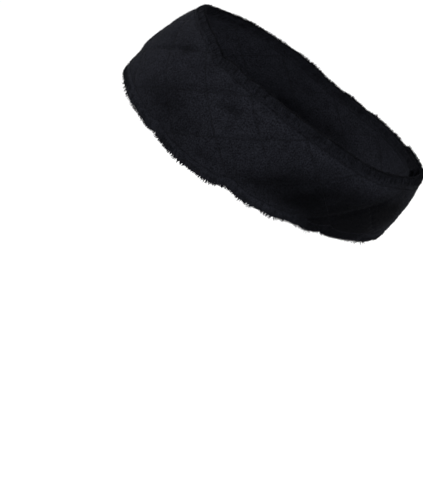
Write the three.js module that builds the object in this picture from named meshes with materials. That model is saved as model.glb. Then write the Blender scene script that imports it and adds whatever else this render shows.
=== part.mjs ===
// Wig grip band: a quilted velvet band with overlocked borders, lapped at the back over a hook fastener.
// Millimetres. +Z is up, the wearer faces -Y, the wearer's left is +X, and the origin is the head's centre.
import * as THREE from "three";

// Form of the head inside the band, which is left open
const HEAD_HALF_LENGTH = 88.2;
const HEAD_HALF_WIDTH = 74.2;
const HEAD_HALF_HEIGHT = 73.2;
const HEAD_PITCH = 15; // degrees that the long axis of the head rises towards the face
const LOOP_TILT = 38; // degrees that the loop leans, high at the hairline and low at the nape

// Quilted cloth
const BAND_WIDTH = 62;
const PAD_THICKNESS = 3;
const HEM_THICKNESS = 1.2; // the pad pressed flat inside the borders
const HEM_STEP = 0.8; // width over which the pad swells to its full thickness
const FLAT_MARGIN = 10; // the dents die out over this width beside each border
const QUILT_PITCH = 40; // between two stitch lines of one family, along the band
const QUILT_SLOPE = 0.72; // rise of a stitch line for its run along the band
const QUILT_DEPTH = 0.6;
const RISING_LINE_START = 96.5; // where a rising stitch line crosses the loop's plane, from the front
const FALLING_LINE_START = 118;

// Overlocked borders
const BORDER_WIDTH = 6;
const BORDER_WALL = 1;
const BORDER_ROUNDING = 0.9;

// Lap and fastener at the back
const LAP_LENGTH = 45;
const LAP_EASE = 56; // length over which the outer end climbs on to the inner end
const LAP_LEAD = 4; // the outer end is fully raised this far before the inner end begins
const INNER_END_RISE = 2; // the inner end is fastened this much higher
const FASTENER_THICKNESS = 1.6;
const FASTENER_MARGIN = 2; // bare pad left between the fastener and the borders

// Clearances
const FIT_GAP = 0.3;
const SKIN_GAP = 0.4;

// Fineness of the faceted surfaces
const LOOP_STEPS = 104;
const WIDTH_STEPS = 8;
const END_STEPS = 6;
const FASTENER_STEPS = 8;
const FASTENER_ROWS = 5;

// Edges of the band round one half of the loop, the same on both sides. The angle is in degrees from the
// front. Upper and lower are heights above and below the loop's plane in shares of the band's width. The
// lifts are how far each edge stands off the head, in shares of the pad's thickness.
const SECTIONS = [
  { angle: 0, upper: 0.568, lower: 0.39, upperLift: 0.25, lowerLift: 0.95 },
  { angle: 15, upper: 0.551, lower: 0.434, upperLift: 0, lowerLift: 0.85 },
  { angle: 30, upper: 0.503, lower: 0.478, upperLift: 0, lowerLift: 0.45 },
  { angle: 45, upper: 0.498, lower: 0.502, upperLift: 0, lowerLift: 0.2 },
  { angle: 60, upper: 0.509, lower: 0.488, upperLift: 0, lowerLift: 0.1 },
  { angle: 75, upper: 0.503, lower: 0.434, upperLift: 0, lowerLift: 0 },
  { angle: 90, upper: 0.5, lower: 0.414, upperLift: 0, lowerLift: 0 },
  { angle: 105, upper: 0.493, lower: 0.372, upperLift: 0, lowerLift: 0 },
  { angle: 120, upper: 0.472, lower: 0.33, upperLift: 0, lowerLift: 0.1 },
  { angle: 135, upper: 0.48, lower: 0.284, upperLift: 0, lowerLift: 0.25 },
  { angle: 150, upper: 0.498, lower: 0.208, upperLift: 0, lowerLift: 0.4 },
  { angle: 165, upper: 0.496, lower: 0.14, upperLift: 0, lowerLift: 0.45 },
  { angle: 180, upper: 0.494, lower: 0.125, upperLift: 0, lowerLift: 0.3 },
  { angle: 195, upper: 0.492, lower: 0.125, upperLift: 0, lowerLift: 0.3 },
];

// Small waves of the two edges. The angle is signed, positive on the wearer's left, the spread is in degrees
// and the shifts are shares of the border's width, positive upwards.
const WAVES = [
  { angle: 22, spread: 4, upper: 0.09, lower: 0 },
  { angle: 34.5, spread: 3.2, upper: -0.24, lower: 0.2 },
  { angle: 42, spread: 3, upper: 0.04, lower: 0 },
  { angle: 48, spread: 4, upper: -0.07, lower: 0 },
  { angle: 67, spread: 3, upper: 0, lower: -0.14 },
  { angle: 72.5, spread: 4, upper: 0, lower: 0.34 },
  { angle: 83, spread: 4, upper: 0, lower: -0.08 },
  { angle: 109, spread: 5, upper: 0, lower: 0.14 },
  { angle: 116, spread: 4, upper: 0.02, lower: -0.06 },
  { angle: 124.5, spread: 2.6, upper: 0, lower: 0.2 },
  { angle: 132, spread: 5, upper: -0.06, lower: -0.08 },
  { angle: -28, spread: 7, upper: 0.1, lower: -0.1 },
  { angle: -74, spread: 6, upper: 0.08, lower: 0.18 },
  { angle: -118, spread: 8, upper: -0.1, lower: -0.12 },
];

// Dents and creases of the whole cloth. Height, reach along the crease and reach across it are shares of the
// band's width, the turn is in degrees, and the depth is a share of the pad's thickness.
const DENTS = [
  { angle: 0, height: 0.12, along: 0.7, across: 0.32, turn: 0, depth: 0.22 },
  { angle: 17, height: 0.22, along: 0.2, across: 0.07, turn: 40, depth: 0.22 },
  { angle: 56, height: 0.2, along: 0.14, across: 0.07, turn: 38, depth: 0.24 },
  { angle: 84, height: -0.22, along: 0.4, across: 0.1, turn: 5, depth: -0.2 },
  { angle: 145, height: 0.36, along: 0.12, across: 0.06, turn: -10, depth: 0.22 },
  { angle: 148, height: 0.24, along: 0.12, across: 0.06, turn: -16, depth: 0.22 },
  { angle: -22, height: 0.1, along: 0.2, across: 0.08, turn: -35, depth: 0.22 },
  { angle: -63, height: -0.12, along: 0.22, across: 0.08, turn: 30, depth: 0.24 },
  { angle: -104, height: 0.16, along: 0.24, across: 0.09, turn: -20, depth: 0.2 },
];

const CLOTH = new THREE.MeshStandardMaterial({ color: 0x15161b, roughness: 0.92, metalness: 0 });
const THREAD = new THREE.MeshStandardMaterial({ color: 0x0d0d10, roughness: 0.8, metalness: 0 });
const HOOKS = new THREE.MeshStandardMaterial({ color: 0x1b1b1e, roughness: 0.7, metalness: 0 });

const { degToRad, radToDeg, smoothstep } = THREE.MathUtils;

// Directions of the head's long and high axes, and of the loop's front and axis
const HEAD_LONG = new THREE.Vector3(0, -Math.cos(degToRad(HEAD_PITCH)), Math.sin(degToRad(HEAD_PITCH)));
const HEAD_HIGH = new THREE.Vector3(0, Math.sin(degToRad(HEAD_PITCH)), Math.cos(degToRad(HEAD_PITCH)));
const SIDE = new THREE.Vector3(1, 0, 0);
const LOOP_FRONT = new THREE.Vector3(0, -Math.cos(degToRad(LOOP_TILT)), Math.sin(degToRad(LOOP_TILT)));
const LOOP_AXIS = new THREE.Vector3(0, Math.sin(degToRad(LOOP_TILT)), Math.cos(degToRad(LOOP_TILT)));

// Sizes that follow from those above
const BORDER_THICKNESS = HEM_THICKNESS + 2 * (FIT_GAP + BORDER_WALL);
const SLOT_HALF = HEM_THICKNESS / 2 + FIT_GAP;
const EDGE_INSET = BORDER_WALL + FIT_GAP;
const HEM_WIDTH = BORDER_WIDTH + FIT_GAP;
const LAP_RAISE = PAD_THICKNESS + FASTENER_THICKNESS + 2 * FIT_GAP;

// Point and outward normal of the head in a direction from its centre, given by an angle round the loop and
// a climb above the loop's plane.
function headAt(angle, climb) {
  const direction = new THREE.Vector3()
    .addScaledVector(LOOP_FRONT, Math.cos(climb) * Math.cos(angle))
    .addScaledVector(SIDE, Math.cos(climb) * Math.sin(angle))
    .addScaledVector(LOOP_AXIS, Math.sin(climb));
  const long = direction.dot(HEAD_LONG);
  const high = direction.dot(HEAD_HIGH);
  const wide = direction.dot(SIDE);
  const radius = 1 / Math.hypot(long / HEAD_HALF_LENGTH, high / HEAD_HALF_HEIGHT, wide / HEAD_HALF_WIDTH);
  const normal = new THREE.Vector3()
    .addScaledVector(HEAD_LONG, long / HEAD_HALF_LENGTH ** 2)
    .addScaledVector(HEAD_HIGH, high / HEAD_HALF_HEIGHT ** 2)
    .addScaledVector(SIDE, wide / HEAD_HALF_WIDTH ** 2)
    .normalize();
  return { point: direction.multiplyScalar(radius), normal, radius };
}

const BACK_RADIUS = headAt(Math.PI, 0).radius + SKIN_GAP + BORDER_THICKNESS / 2;

// Degrees round the loop that a length at the back takes.
const backDegrees = (length) => radToDeg(length / BACK_RADIUS);

const END_ANGLE = 180 + backDegrees(LAP_LENGTH / 2);
const RAISED_ANGLE = 360 - END_ANGLE - backDegrees(LAP_LEAD);
const EASE_ANGLE = RAISED_ANGLE - backDegrees(LAP_EASE);

// Value of one column of the sections at an angle, along a smooth curve through the rows.
function sectionValue(angle, column) {
  const last = SECTIONS.length - 1;
  let row = 0;
  while (row < last - 1 && angle > SECTIONS[row + 1].angle) row += 1;
  const rows = [row - 1, row, row + 1, row + 2].map((index) => SECTIONS[Math.min(Math.abs(index), last)]);
  const share = (angle - rows[1].angle) / (rows[2].angle - rows[1].angle);
  const [before, here, next, after] = rows.map((each) => each[column]);
  const leaving = (next - before) / 2;
  const arriving = (after - here) / 2;
  const rise = 2 * (here - next) + leaving + arriving;
  const bend = 3 * (next - here) - 2 * leaving - arriving;
  return here + share * (leaving + share * (bend + share * rise));
}

// Sum of the waves' shifts of one edge.
function waveShift(angle, column) {
  const shift = WAVES.reduce(
    (sum, wave) => sum + wave[column] * Math.exp(-(((angle - wave.angle) / wave.spread) ** 2)),
    0,
  );
  return shift * BORDER_WIDTH;
}

// Share, from 0 to 1, of the way up to the inner end's higher place.
const innerEndShare = (angle) => smoothstep(-angle, EASE_ANGLE, 180);

// Heights of the lower and upper edge at a signed angle.
function edges(angle) {
  const rise = INNER_END_RISE * innerEndShare(angle);
  const around = Math.abs(angle);
  return {
    lower: -BAND_WIDTH * sectionValue(around, "lower") + waveShift(angle, "lower") + rise,
    upper: BAND_WIDTH * sectionValue(around, "upper") + waveShift(angle, "upper") + rise,
  };
}

// Distance along the loop's plane from the front, positive on the wearer's left.
function lengthAlong(angle) {
  const steps = Math.ceil(Math.abs(angle));
  let length = 0;
  for (let index = 0; index < steps; index += 1) {
    length += headAt(degToRad(((index + 0.5) / steps) * angle), 0).radius * degToRad(angle / steps);
  }
  return length;
}

// How deep the dents press the cloth in at a place on the band, at a distance from its nearer long edge.
function dentDepth(angle, height, distance) {
  const radius = headAt(degToRad(angle), 0).radius;
  const share = smoothstep(distance, HEM_WIDTH, HEM_WIDTH + FLAT_MARGIN);
  return DENTS.reduce((sum, dent) => {
    const run = degToRad(angle - dent.angle) * radius;
    const rise = height - dent.height * BAND_WIDTH;
    const turn = degToRad(dent.turn);
    const along = (run * Math.cos(turn) + rise * Math.sin(turn)) / (dent.along * BAND_WIDTH);
    const across = (rise * Math.cos(turn) - run * Math.sin(turn)) / (dent.across * BAND_WIDTH);
    return sum + share * dent.depth * PAD_THICKNESS * Math.exp(-(along ** 2) - across ** 2);
  }, 0);
}

// Height of the cloth's middle above the head.
function middle(angle, height) {
  const { lower, upper } = edges(angle);
  const share = (height - lower) / (upper - lower);
  const around = Math.abs(angle);
  const lowerLift = sectionValue(around, "lowerLift") * (1 - share) ** 2;
  const upperLift = sectionValue(around, "upperLift") * share ** 2;
  const raise = LAP_RAISE * smoothstep(angle, EASE_ANGLE, RAISED_ANGLE);
  const lift = PAD_THICKNESS * (lowerLift + upperLift);
  const dent = dentDepth(angle, height, Math.min(height - lower, upper - height));
  return SKIN_GAP + BORDER_THICKNESS / 2 + raise + lift - dent;
}

// Point of the band at a signed angle, a height above the loop's plane and an offset from the cloth's middle.
function place(angle, height, offset) {
  const turn = degToRad(angle);
  const { point, normal } = headAt(turn, height / headAt(turn, 0).radius);
  return point.addScaledVector(normal, middle(angle, height) + offset);
}

// Depth of the quilting, nothing at a puff's top and deepest on the stitch lines.
function quiltGroove(length, height) {
  const rising = (length - RISING_LINE_START - height / QUILT_SLOPE) / QUILT_PITCH;
  const falling = (length - FALLING_LINE_START + height / QUILT_SLOPE) / QUILT_PITCH;
  const puff = Math.abs(Math.sin(Math.PI * rising) * Math.sin(Math.PI * falling));
  return QUILT_DEPTH * (1 - Math.cbrt(puff));
}

// Degrees from a signed angle's own end of the band to a distance inside it.
const insideEnd = (distance) => END_ANGLE - backDegrees(distance);

// Angles of the cross-sections: the given ones near each end, and even steps between the last two of them.
function stations(angles) {
  const outer = angles.slice(0, -1);
  const inner = angles[outer.length];
  const even = Array.from({ length: LOOP_STEPS + 1 }, (_, index) => inner * ((2 * index) / LOOP_STEPS - 1));
  return [...outer.map((angle) => -angle), ...even, ...outer.reverse()];
}

// Signed volume of a closed surface, negative where its faces point inwards.
function signedVolume(points, faces) {
  return faces.reduce(
    (sum, [a, b, c]) => sum + points[a].dot(new THREE.Vector3().crossVectors(points[b], points[c])) / 6,
    0,
  );
}

// Triangles that fill a section of rows, listed along its outer side and back along its inner side.
function stripFaces(rows) {
  const last = 2 * rows - 1;
  return Array.from({ length: rows - 1 }, (_, row) => [
    [row, row + 1, last - row - 1],
    [row, last - row - 1, last - row],
  ]).flat();
}

// Triangles that fill a section with the given flat outline, turned the way the outline runs.
function outlineFaces(outline) {
  const clockwise = THREE.ShapeUtils.isClockWise(outline);
  return THREE.ShapeUtils.triangulateShape(outline, []).map((face) => {
    const alike = THREE.ShapeUtils.isClockWise(face.map((index) => outline[index])) === clockwise;
    return alike ? face : [...face].reverse();
  });
}

// Closed solid through cross-sections of equally many points, with the triangles that fill a section.
function loft(sections, endFaces) {
  const points = sections.flat();
  const size = sections[0].length;
  const end = points.length - size;
  const faces = [];
  for (let start = 0; start < end; start += size) {
    for (let corner = 0; corner < size; corner += 1) {
      const next = (corner + 1) % size;
      faces.push([start + corner, start + next, start + size + next]);
      faces.push([start + corner, start + size + next, start + size + corner]);
    }
  }
  endFaces.forEach(([a, b, c]) => faces.push([c, b, a], [end + a, end + b, end + c]));
  if (signedVolume(points, faces) < 0) faces.forEach((face) => face.reverse());
  const geometry = new THREE.BufferGeometry().setFromPoints(points);
  geometry.setIndex(faces.flat());
  geometry.computeVertexNormals();
  return geometry;
}

function named(name, geometry, material) {
  const mesh = new THREE.Mesh(geometry, material);
  mesh.name = name;
  return mesh;
}

// Share, from 0 to 1, of the pad's swelling at a distance from its nearest edge.
const padSwell = (distance) => THREE.MathUtils.clamp((distance - HEM_WIDTH) / HEM_STEP, 0, 1);

// Heights of the pad's rows at an angle, from its lower to its upper edge.
function padRows(angle) {
  const { lower, upper } = edges(angle);
  const insets = [EDGE_INSET, HEM_WIDTH, HEM_WIDTH + HEM_STEP];
  const first = lower + insets[2];
  const last = upper - insets[2];
  const between = Array.from({ length: WIDTH_STEPS - 1 }, (_, index) =>
    THREE.MathUtils.lerp(first, last, (index + 1) / WIDTH_STEPS),
  );
  const lowest = insets.map((inset) => lower + inset);
  const highest = insets.map((inset) => upper - inset).reverse();
  return [...lowest, ...between, ...highest];
}

// The quilted velvet pad.
function quiltedBand() {
  const sections = stations([EDGE_INSET, HEM_WIDTH, HEM_WIDTH + HEM_STEP].map(insideEnd)).map((angle) => {
    const { lower, upper } = edges(angle);
    const length = lengthAlong(angle);
    const toEnd = (END_ANGLE - Math.abs(angle)) / backDegrees(1);
    const rows = padRows(angle).map((height) => {
      const swell = padSwell(Math.min(height - lower, upper - height, toEnd));
      const half = THREE.MathUtils.lerp(HEM_THICKNESS, PAD_THICKNESS, swell) / 2;
      const groove = swell * quiltGroove(length, height);
      return { outer: place(angle, height, half - groove), inner: place(angle, height, -half) };
    });
    return [...rows.map((row) => row.outer), ...rows.map((row) => row.inner).reverse()];
  });
  return named("quilted_band", loft(sections, stripFaces(sections[0].length / 2)), CLOTH);
}

// Section of a border: a folded strip whose slot holds the pad's flat hem. Depth is from the band's edge.
function borderSection() {
  const half = BORDER_THICKNESS / 2;
  return [
    { depth: BORDER_WIDTH, offset: half },
    { depth: BORDER_ROUNDING, offset: half },
    { depth: 0, offset: half - BORDER_ROUNDING },
    { depth: 0, offset: BORDER_ROUNDING - half },
    { depth: BORDER_ROUNDING, offset: -half },
    { depth: BORDER_WIDTH, offset: -half },
    { depth: BORDER_WIDTH, offset: -SLOT_HALF },
    { depth: BORDER_WALL, offset: -SLOT_HALF },
    { depth: BORDER_WALL, offset: SLOT_HALF },
    { depth: BORDER_WIDTH, offset: SLOT_HALF },
  ];
}

const borderOutline = borderSection().map(({ depth, offset }) => new THREE.Vector2(depth, offset));
const borderFaces = outlineFaces(borderOutline);

// The border along the upper or the lower edge.
function longBorder(name, edge, inwards) {
  const angles = stations([0, EDGE_INSET, HEM_WIDTH, HEM_WIDTH + HEM_STEP].map(insideEnd));
  const sections = angles.map((angle) =>
    borderSection().map((corner) => place(angle, edges(angle)[edge] + inwards * corner.depth, corner.offset)),
  );
  return named(name, loft(sections, borderFaces), THREAD);
}

// The border across one end of the band, between the two long borders.
function endBorder(name, side) {
  const sections = Array.from({ length: END_STEPS + 1 }, (_, index) =>
    borderSection().map((corner) => {
      const angle = side * insideEnd(corner.depth);
      const { lower, upper } = edges(angle);
      const height = THREE.MathUtils.lerp(lower + HEM_WIDTH, upper - HEM_WIDTH, index / END_STEPS);
      return place(angle, height, corner.offset);
    }),
  );
  return named(name, loft(sections, borderFaces), THREAD);
}

// The hook-and-loop fastener, pressed together between the two lapped ends, inside the borders of both.
function hookFastener() {
  const border = HEM_WIDTH + HEM_STEP + FASTENER_MARGIN;
  const reach = backDegrees(LAP_LENGTH / 2 - border);
  const seat = PAD_THICKNESS / 2 + FIT_GAP;
  const sections = Array.from({ length: FASTENER_STEPS + 1 }, (_, index) => {
    const angle = 180 + reach * ((2 * index) / FASTENER_STEPS - 1);
    const [outer, inner] = [edges(angle), edges(angle - 360)];
    const lowest = Math.max(outer.lower, inner.lower) + border;
    const highest = Math.min(outer.upper, inner.upper) - border;
    const rows = Array.from({ length: FASTENER_ROWS }, (unused, row) => {
      const height = THREE.MathUtils.lerp(lowest, highest, row / (FASTENER_ROWS - 1));
      const under = middle(angle - 360, height) + seat - middle(angle, height);
      return { over: place(angle, height, -seat), under: place(angle, height, under) };
    });
    return [...rows.map((row) => row.over), ...rows.map((row) => row.under).reverse()];
  });
  return named("hook_fastener", loft(sections, stripFaces(FASTENER_ROWS)), HOOKS);
}

const band = new THREE.Group();
band.add(quiltedBand());
band.add(longBorder("upper_border", "upper", -1));
band.add(longBorder("lower_border", "lower", 1));
band.add(endBorder("outer_end_border", 1));
band.add(endBorder("inner_end_border", -1));
band.add(hookFastener());

export default band;
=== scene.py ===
"""Wig grip band: a quilted velvet band with overlocked borders, lapped at the back over a hook fastener.

Metres. +Z is up, the wearer faces -Y, the wearer's left is +X, and the origin is the centre of the head.
"""

import logging
import math
from collections.abc import Iterable
from dataclasses import dataclass, field
from enum import Enum

import bpy
import numpy as np
from mathutils import Matrix, Vector


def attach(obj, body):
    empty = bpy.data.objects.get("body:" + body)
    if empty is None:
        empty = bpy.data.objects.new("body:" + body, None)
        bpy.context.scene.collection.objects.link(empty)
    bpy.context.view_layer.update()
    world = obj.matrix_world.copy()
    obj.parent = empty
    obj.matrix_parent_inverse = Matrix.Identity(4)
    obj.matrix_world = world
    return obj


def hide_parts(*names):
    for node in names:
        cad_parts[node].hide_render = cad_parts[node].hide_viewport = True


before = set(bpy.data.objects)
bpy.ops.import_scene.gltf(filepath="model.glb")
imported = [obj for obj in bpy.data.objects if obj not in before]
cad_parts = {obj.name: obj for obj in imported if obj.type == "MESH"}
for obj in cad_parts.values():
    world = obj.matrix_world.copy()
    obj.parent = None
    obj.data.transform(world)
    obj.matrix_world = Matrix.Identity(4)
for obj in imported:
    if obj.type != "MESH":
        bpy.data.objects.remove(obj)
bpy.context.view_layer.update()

logging.basicConfig(level=logging.INFO, format="%(message)s")
LOG = logging.getLogger("wig_grip_band")

BODY = "root"
MM = 0.001
FULL_TURN = 360.0
HALF_TURN = 180.0
TABLE_REACH = 210.0  # degrees to each side of the front, past both ends of the band
TABLE_ROWS = 1681  # four to a degree
UV_SPAN = 0.1  # length of cloth that one unit of the UV map stands for
BORDER_STEP = 0.0005  # between two columns of a border
END_FRINGE = 0.0016  # length of the fibre ends across the band's ends
SLOT_POINTS = 4  # corners of the slot in a border's section
TOLERANCE = 1e-6


class Slot(Enum):
    """Finishes of the record that a piece can take."""

    VELVET = "velvet"
    THREAD = "overlock_thread"
    TAPE = "hook_tape"


class Edge(Enum):
    """The two long edges of the band, with the way along the loop that their path runs."""

    UPPER = -1
    LOWER = 1


class End(Enum):
    """The two ends of the band, with the sign of their angle round the loop."""

    OUTER = 1
    INNER = -1


# Forms: the head, and the band laid round it


@dataclass(frozen=True)
class Section:
    """Edges of the band at one angle from the front, the same on both sides.

    Upper and lower are shares of the band's width above and below the loop's plane. The lifts are how far each
    edge stands off the head, in shares of the pad's thickness.
    """

    angle: float
    upper: float
    lower: float
    upper_lift: float
    lower_lift: float


@dataclass(frozen=True)
class Wave:
    """Small wave of the two edges at a signed angle, its shifts in shares of the border's width."""

    angle: float
    spread: float
    upper: float
    lower: float


@dataclass(frozen=True)
class Dent:
    """Dent or crease of the whole cloth. Reaches are shares of the band's width, depth of the pad's thickness."""

    angle: float
    height: float
    along: float
    across: float
    turn: float
    depth: float


@dataclass(frozen=True)
class PaintedLightPatch:
    """Patch of painted light on the pile, in millimetres on the flat cloth: painted sheen above nought, painted
    shade below it.
    """

    run: float
    rise: float
    along: float
    across: float
    turn: float
    tone: float


@dataclass(frozen=True)
class Blotch:
    """Random light and dark of the pile, with the metres from one blotch to the next."""

    seed: int
    size: float
    tone: float


SECTIONS = (
    Section(0, 0.568, 0.39, 0.25, 0.95),
    Section(15, 0.551, 0.434, 0, 0.85),
    Section(30, 0.503, 0.478, 0, 0.45),
    Section(45, 0.498, 0.502, 0, 0.2),
    Section(60, 0.509, 0.488, 0, 0.1),
    Section(75, 0.503, 0.434, 0, 0),
    Section(90, 0.5, 0.414, 0, 0),
    Section(105, 0.493, 0.372, 0, 0),
    Section(120, 0.472, 0.33, 0, 0.1),
    Section(135, 0.48, 0.284, 0, 0.25),
    Section(150, 0.498, 0.208, 0, 0.4),
    Section(165, 0.496, 0.14, 0, 0.45),
    Section(180, 0.494, 0.125, 0, 0.3),
    Section(195, 0.492, 0.125, 0, 0.3),
)

WAVES = (
    Wave(22, 4, 0.09, 0),
    Wave(34.5, 3.2, -0.24, 0.2),
    Wave(42, 3, 0.04, 0),
    Wave(48, 4, -0.07, 0),
    Wave(67, 3, 0, -0.14),
    Wave(72.5, 4, 0, 0.34),
    Wave(83, 4, 0, -0.08),
    Wave(109, 5, 0, 0.14),
    Wave(116, 4, 0.02, -0.06),
    Wave(124.5, 2.6, 0, 0.2),
    Wave(132, 5, -0.06, -0.08),
    Wave(-28, 7, 0.1, -0.1),
    Wave(-74, 6, 0.08, 0.18),
    Wave(-118, 8, -0.1, -0.12),
)

DENTS = (
    Dent(0, 0.12, 0.7, 0.32, 0, 0.22),
    Dent(17, 0.22, 0.2, 0.07, 40, 0.22),
    Dent(56, 0.2, 0.14, 0.07, 38, 0.24),
    Dent(84, -0.22, 0.4, 0.1, 5, -0.2),
    Dent(145, 0.36, 0.12, 0.06, -10, 0.22),
    Dent(148, 0.24, 0.12, 0.06, -16, 0.22),
    Dent(-22, 0.1, 0.2, 0.08, -35, 0.22),
    Dent(-63, -0.12, 0.22, 0.08, 30, 0.24),
    Dent(-104, 0.16, 0.24, 0.09, -20, 0.2),
)

# Painted sheen and painted shade set into the pile's tone: lighter and darker patches on the flat cloth
PAINTED_LIGHT_PATCHES = (
    PaintedLightPatch(128, -7, 24, 9, 12, -0.66),
    PaintedLightPatch(155, -4, 24, 11, 15, -0.78),
    PaintedLightPatch(186, 0, 26, 14, 20, -1.0),
    PaintedLightPatch(172, -16, 26, 9, 8, -0.9),
    PaintedLightPatch(130, 3, 14, 5, 36, -0.42),
    PaintedLightPatch(160, 10, 26, 6, 12, -0.58),
    PaintedLightPatch(108, -13, 10, 4, 20, -0.3),
    PaintedLightPatch(122, -21, 20, 2.4, 4, 0.3),
    PaintedLightPatch(176, 19, 15, 4.5, 12, 0.08),
    PaintedLightPatch(198, 13, 15, 9, 8, -0.4),
    PaintedLightPatch(142, 16, 12, 5, 25, -0.22),
    PaintedLightPatch(122, 6, 9, 6, 20, -0.2),
    PaintedLightPatch(203, 24, 6, 4, 0, -0.35),
    # painted shade that dims the sheen on the rim at the back
    PaintedLightPatch(211, 9, 8, 17, 0, -0.34),
    PaintedLightPatch(100, 6, 44, 10, 4, 0.12),
    PaintedLightPatch(142, 21.5, 26, 2.2, 1, 0.4),
    PaintedLightPatch(96, 20.5, 22, 1.6, 1, 0.18),
    PaintedLightPatch(78, 11, 7, 2.2, 16, -0.62),
    PaintedLightPatch(59, 10.5, 20, 0.9, 33, -0.32),
    PaintedLightPatch(17, 9, 11, 1.1, 38, -0.4),
    PaintedLightPatch(30, 17, 6, 3, 34, -0.5),
    PaintedLightPatch(50, 20, 12, 3, 30, -0.2),
    PaintedLightPatch(46, -8, 16, 7.5, 6, -0.42),
    PaintedLightPatch(66, -11, 8, 5, 34, -0.26),
    PaintedLightPatch(84, -17, 10, 3, 18, -0.25),
    PaintedLightPatch(42, -17, 32, 8, -6, -0.24),
    PaintedLightPatch(62, 3, 20, 7, 30, -0.06),
    PaintedLightPatch(12, 8, 30, 16, 0, -0.1),
    PaintedLightPatch(-60, 2, 60, 12, -18, 0.2),
    PaintedLightPatch(-30, 14, 20, 3, -34, -0.3),
    PaintedLightPatch(-150, -4, 50, 10, -10, -0.7),
    PaintedLightPatch(-95, -12, 18, 6, 20, -0.35),
    PaintedLightPatch(-230, 6, 30, 10, 8, 0.2),
    PaintedLightPatch(250, 10, 26, 10, 8, 0.2),
)

BLOTCHES = (
    Blotch(14, 0.007, 0.1),
    Blotch(15, 0.022, 0.12),
    Blotch(16, 0.0028, 0.05),
)

# Small nicks of the edges and creases of the cloth, finer than those of the form
NICKS = (
    Wave(33.6, 1.2, -0.06, 0.16),
    Wave(43.2, 1.2, 0.08, 0.0),
    Wave(50.2, 1.1, 0.1, 0.0),
    Wave(97.5, 2.2, 0.0, -0.08),
    Wave(115.8, 2.2, 0.0, -0.07),
    Wave(122.6, 0.9, 0.0, 0.08),
    Wave(144.3, 1.0, -0.05, 0.14),
    Wave(-52.0, 1.4, -0.1, 0.0),
    Wave(-96.0, 1.6, 0.08, 0.1),
    Wave(-140.0, 1.4, -0.08, 0.12),
)

CREASES = (
    Dent(0, -0.2, 0.55, 0.075, 0, 0.42),
    Dent(163, 0.4, 0.2, 0.05, 0, 0.4),
    Dent(128, 0.0, 0.22, 0.03, 40, 0.16),
    Dent(134, -0.04, 0.2, 0.03, -36, 0.14),
)


def smoothstep(value: np.ndarray, start: float, end: float) -> np.ndarray:
    """Smooth rise of a value from 0 at its start to 1 at its end."""
    share = np.clip((np.asarray(value, float) - start) / (end - start), 0.0, 1.0)
    return share * share * (3.0 - 2.0 * share)


@dataclass(frozen=True)
class HeadForm:
    """Rounded form of the head, its long axis pitched, with the loop's plane leaning high at the hairline."""

    half_length: float = 0.0882
    half_width: float = 0.0742
    half_height: float = 0.0732
    pitch: float = 15.0
    tilt: float = 38.0

    def at(self, angle: np.ndarray, climb: np.ndarray) -> tuple[np.ndarray, np.ndarray, np.ndarray]:
        """Points of the head seen from its centre.

        Args:
            angle: Degrees round the loop from the front, positive on the wearer's left.
            climb: Radians above the loop's plane.

        Returns:
            The points, their outward normals and their distances from the centre.
        """
        pitch, tilt = math.radians(self.pitch), math.radians(self.tilt)
        turn, climb = np.broadcast_arrays(np.radians(angle), np.asarray(climb, float))
        side = np.array((1.0, 0.0, 0.0))
        front = np.array((0.0, -math.cos(tilt), math.sin(tilt)))
        axis = np.array((0.0, math.sin(tilt), math.cos(tilt)))
        away = (np.cos(climb) * np.cos(turn))[..., None] * front
        away = away + (np.cos(climb) * np.sin(turn))[..., None] * side + np.sin(climb)[..., None] * axis
        long_axis = np.array((0.0, -math.cos(pitch), math.sin(pitch)))
        high_axis = np.array((0.0, math.sin(pitch), math.cos(pitch)))
        halves = ((long_axis, self.half_length), (high_axis, self.half_height), (side, self.half_width))
        radius = 1.0 / np.sqrt(sum((away @ way / half) ** 2 for way, half in halves))
        normal = sum((away @ way / half**2)[..., None] * way for way, half in halves)
        normal = normal / np.linalg.norm(normal, axis=-1, keepdims=True)
        return away * radius[..., None], normal, radius


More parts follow.
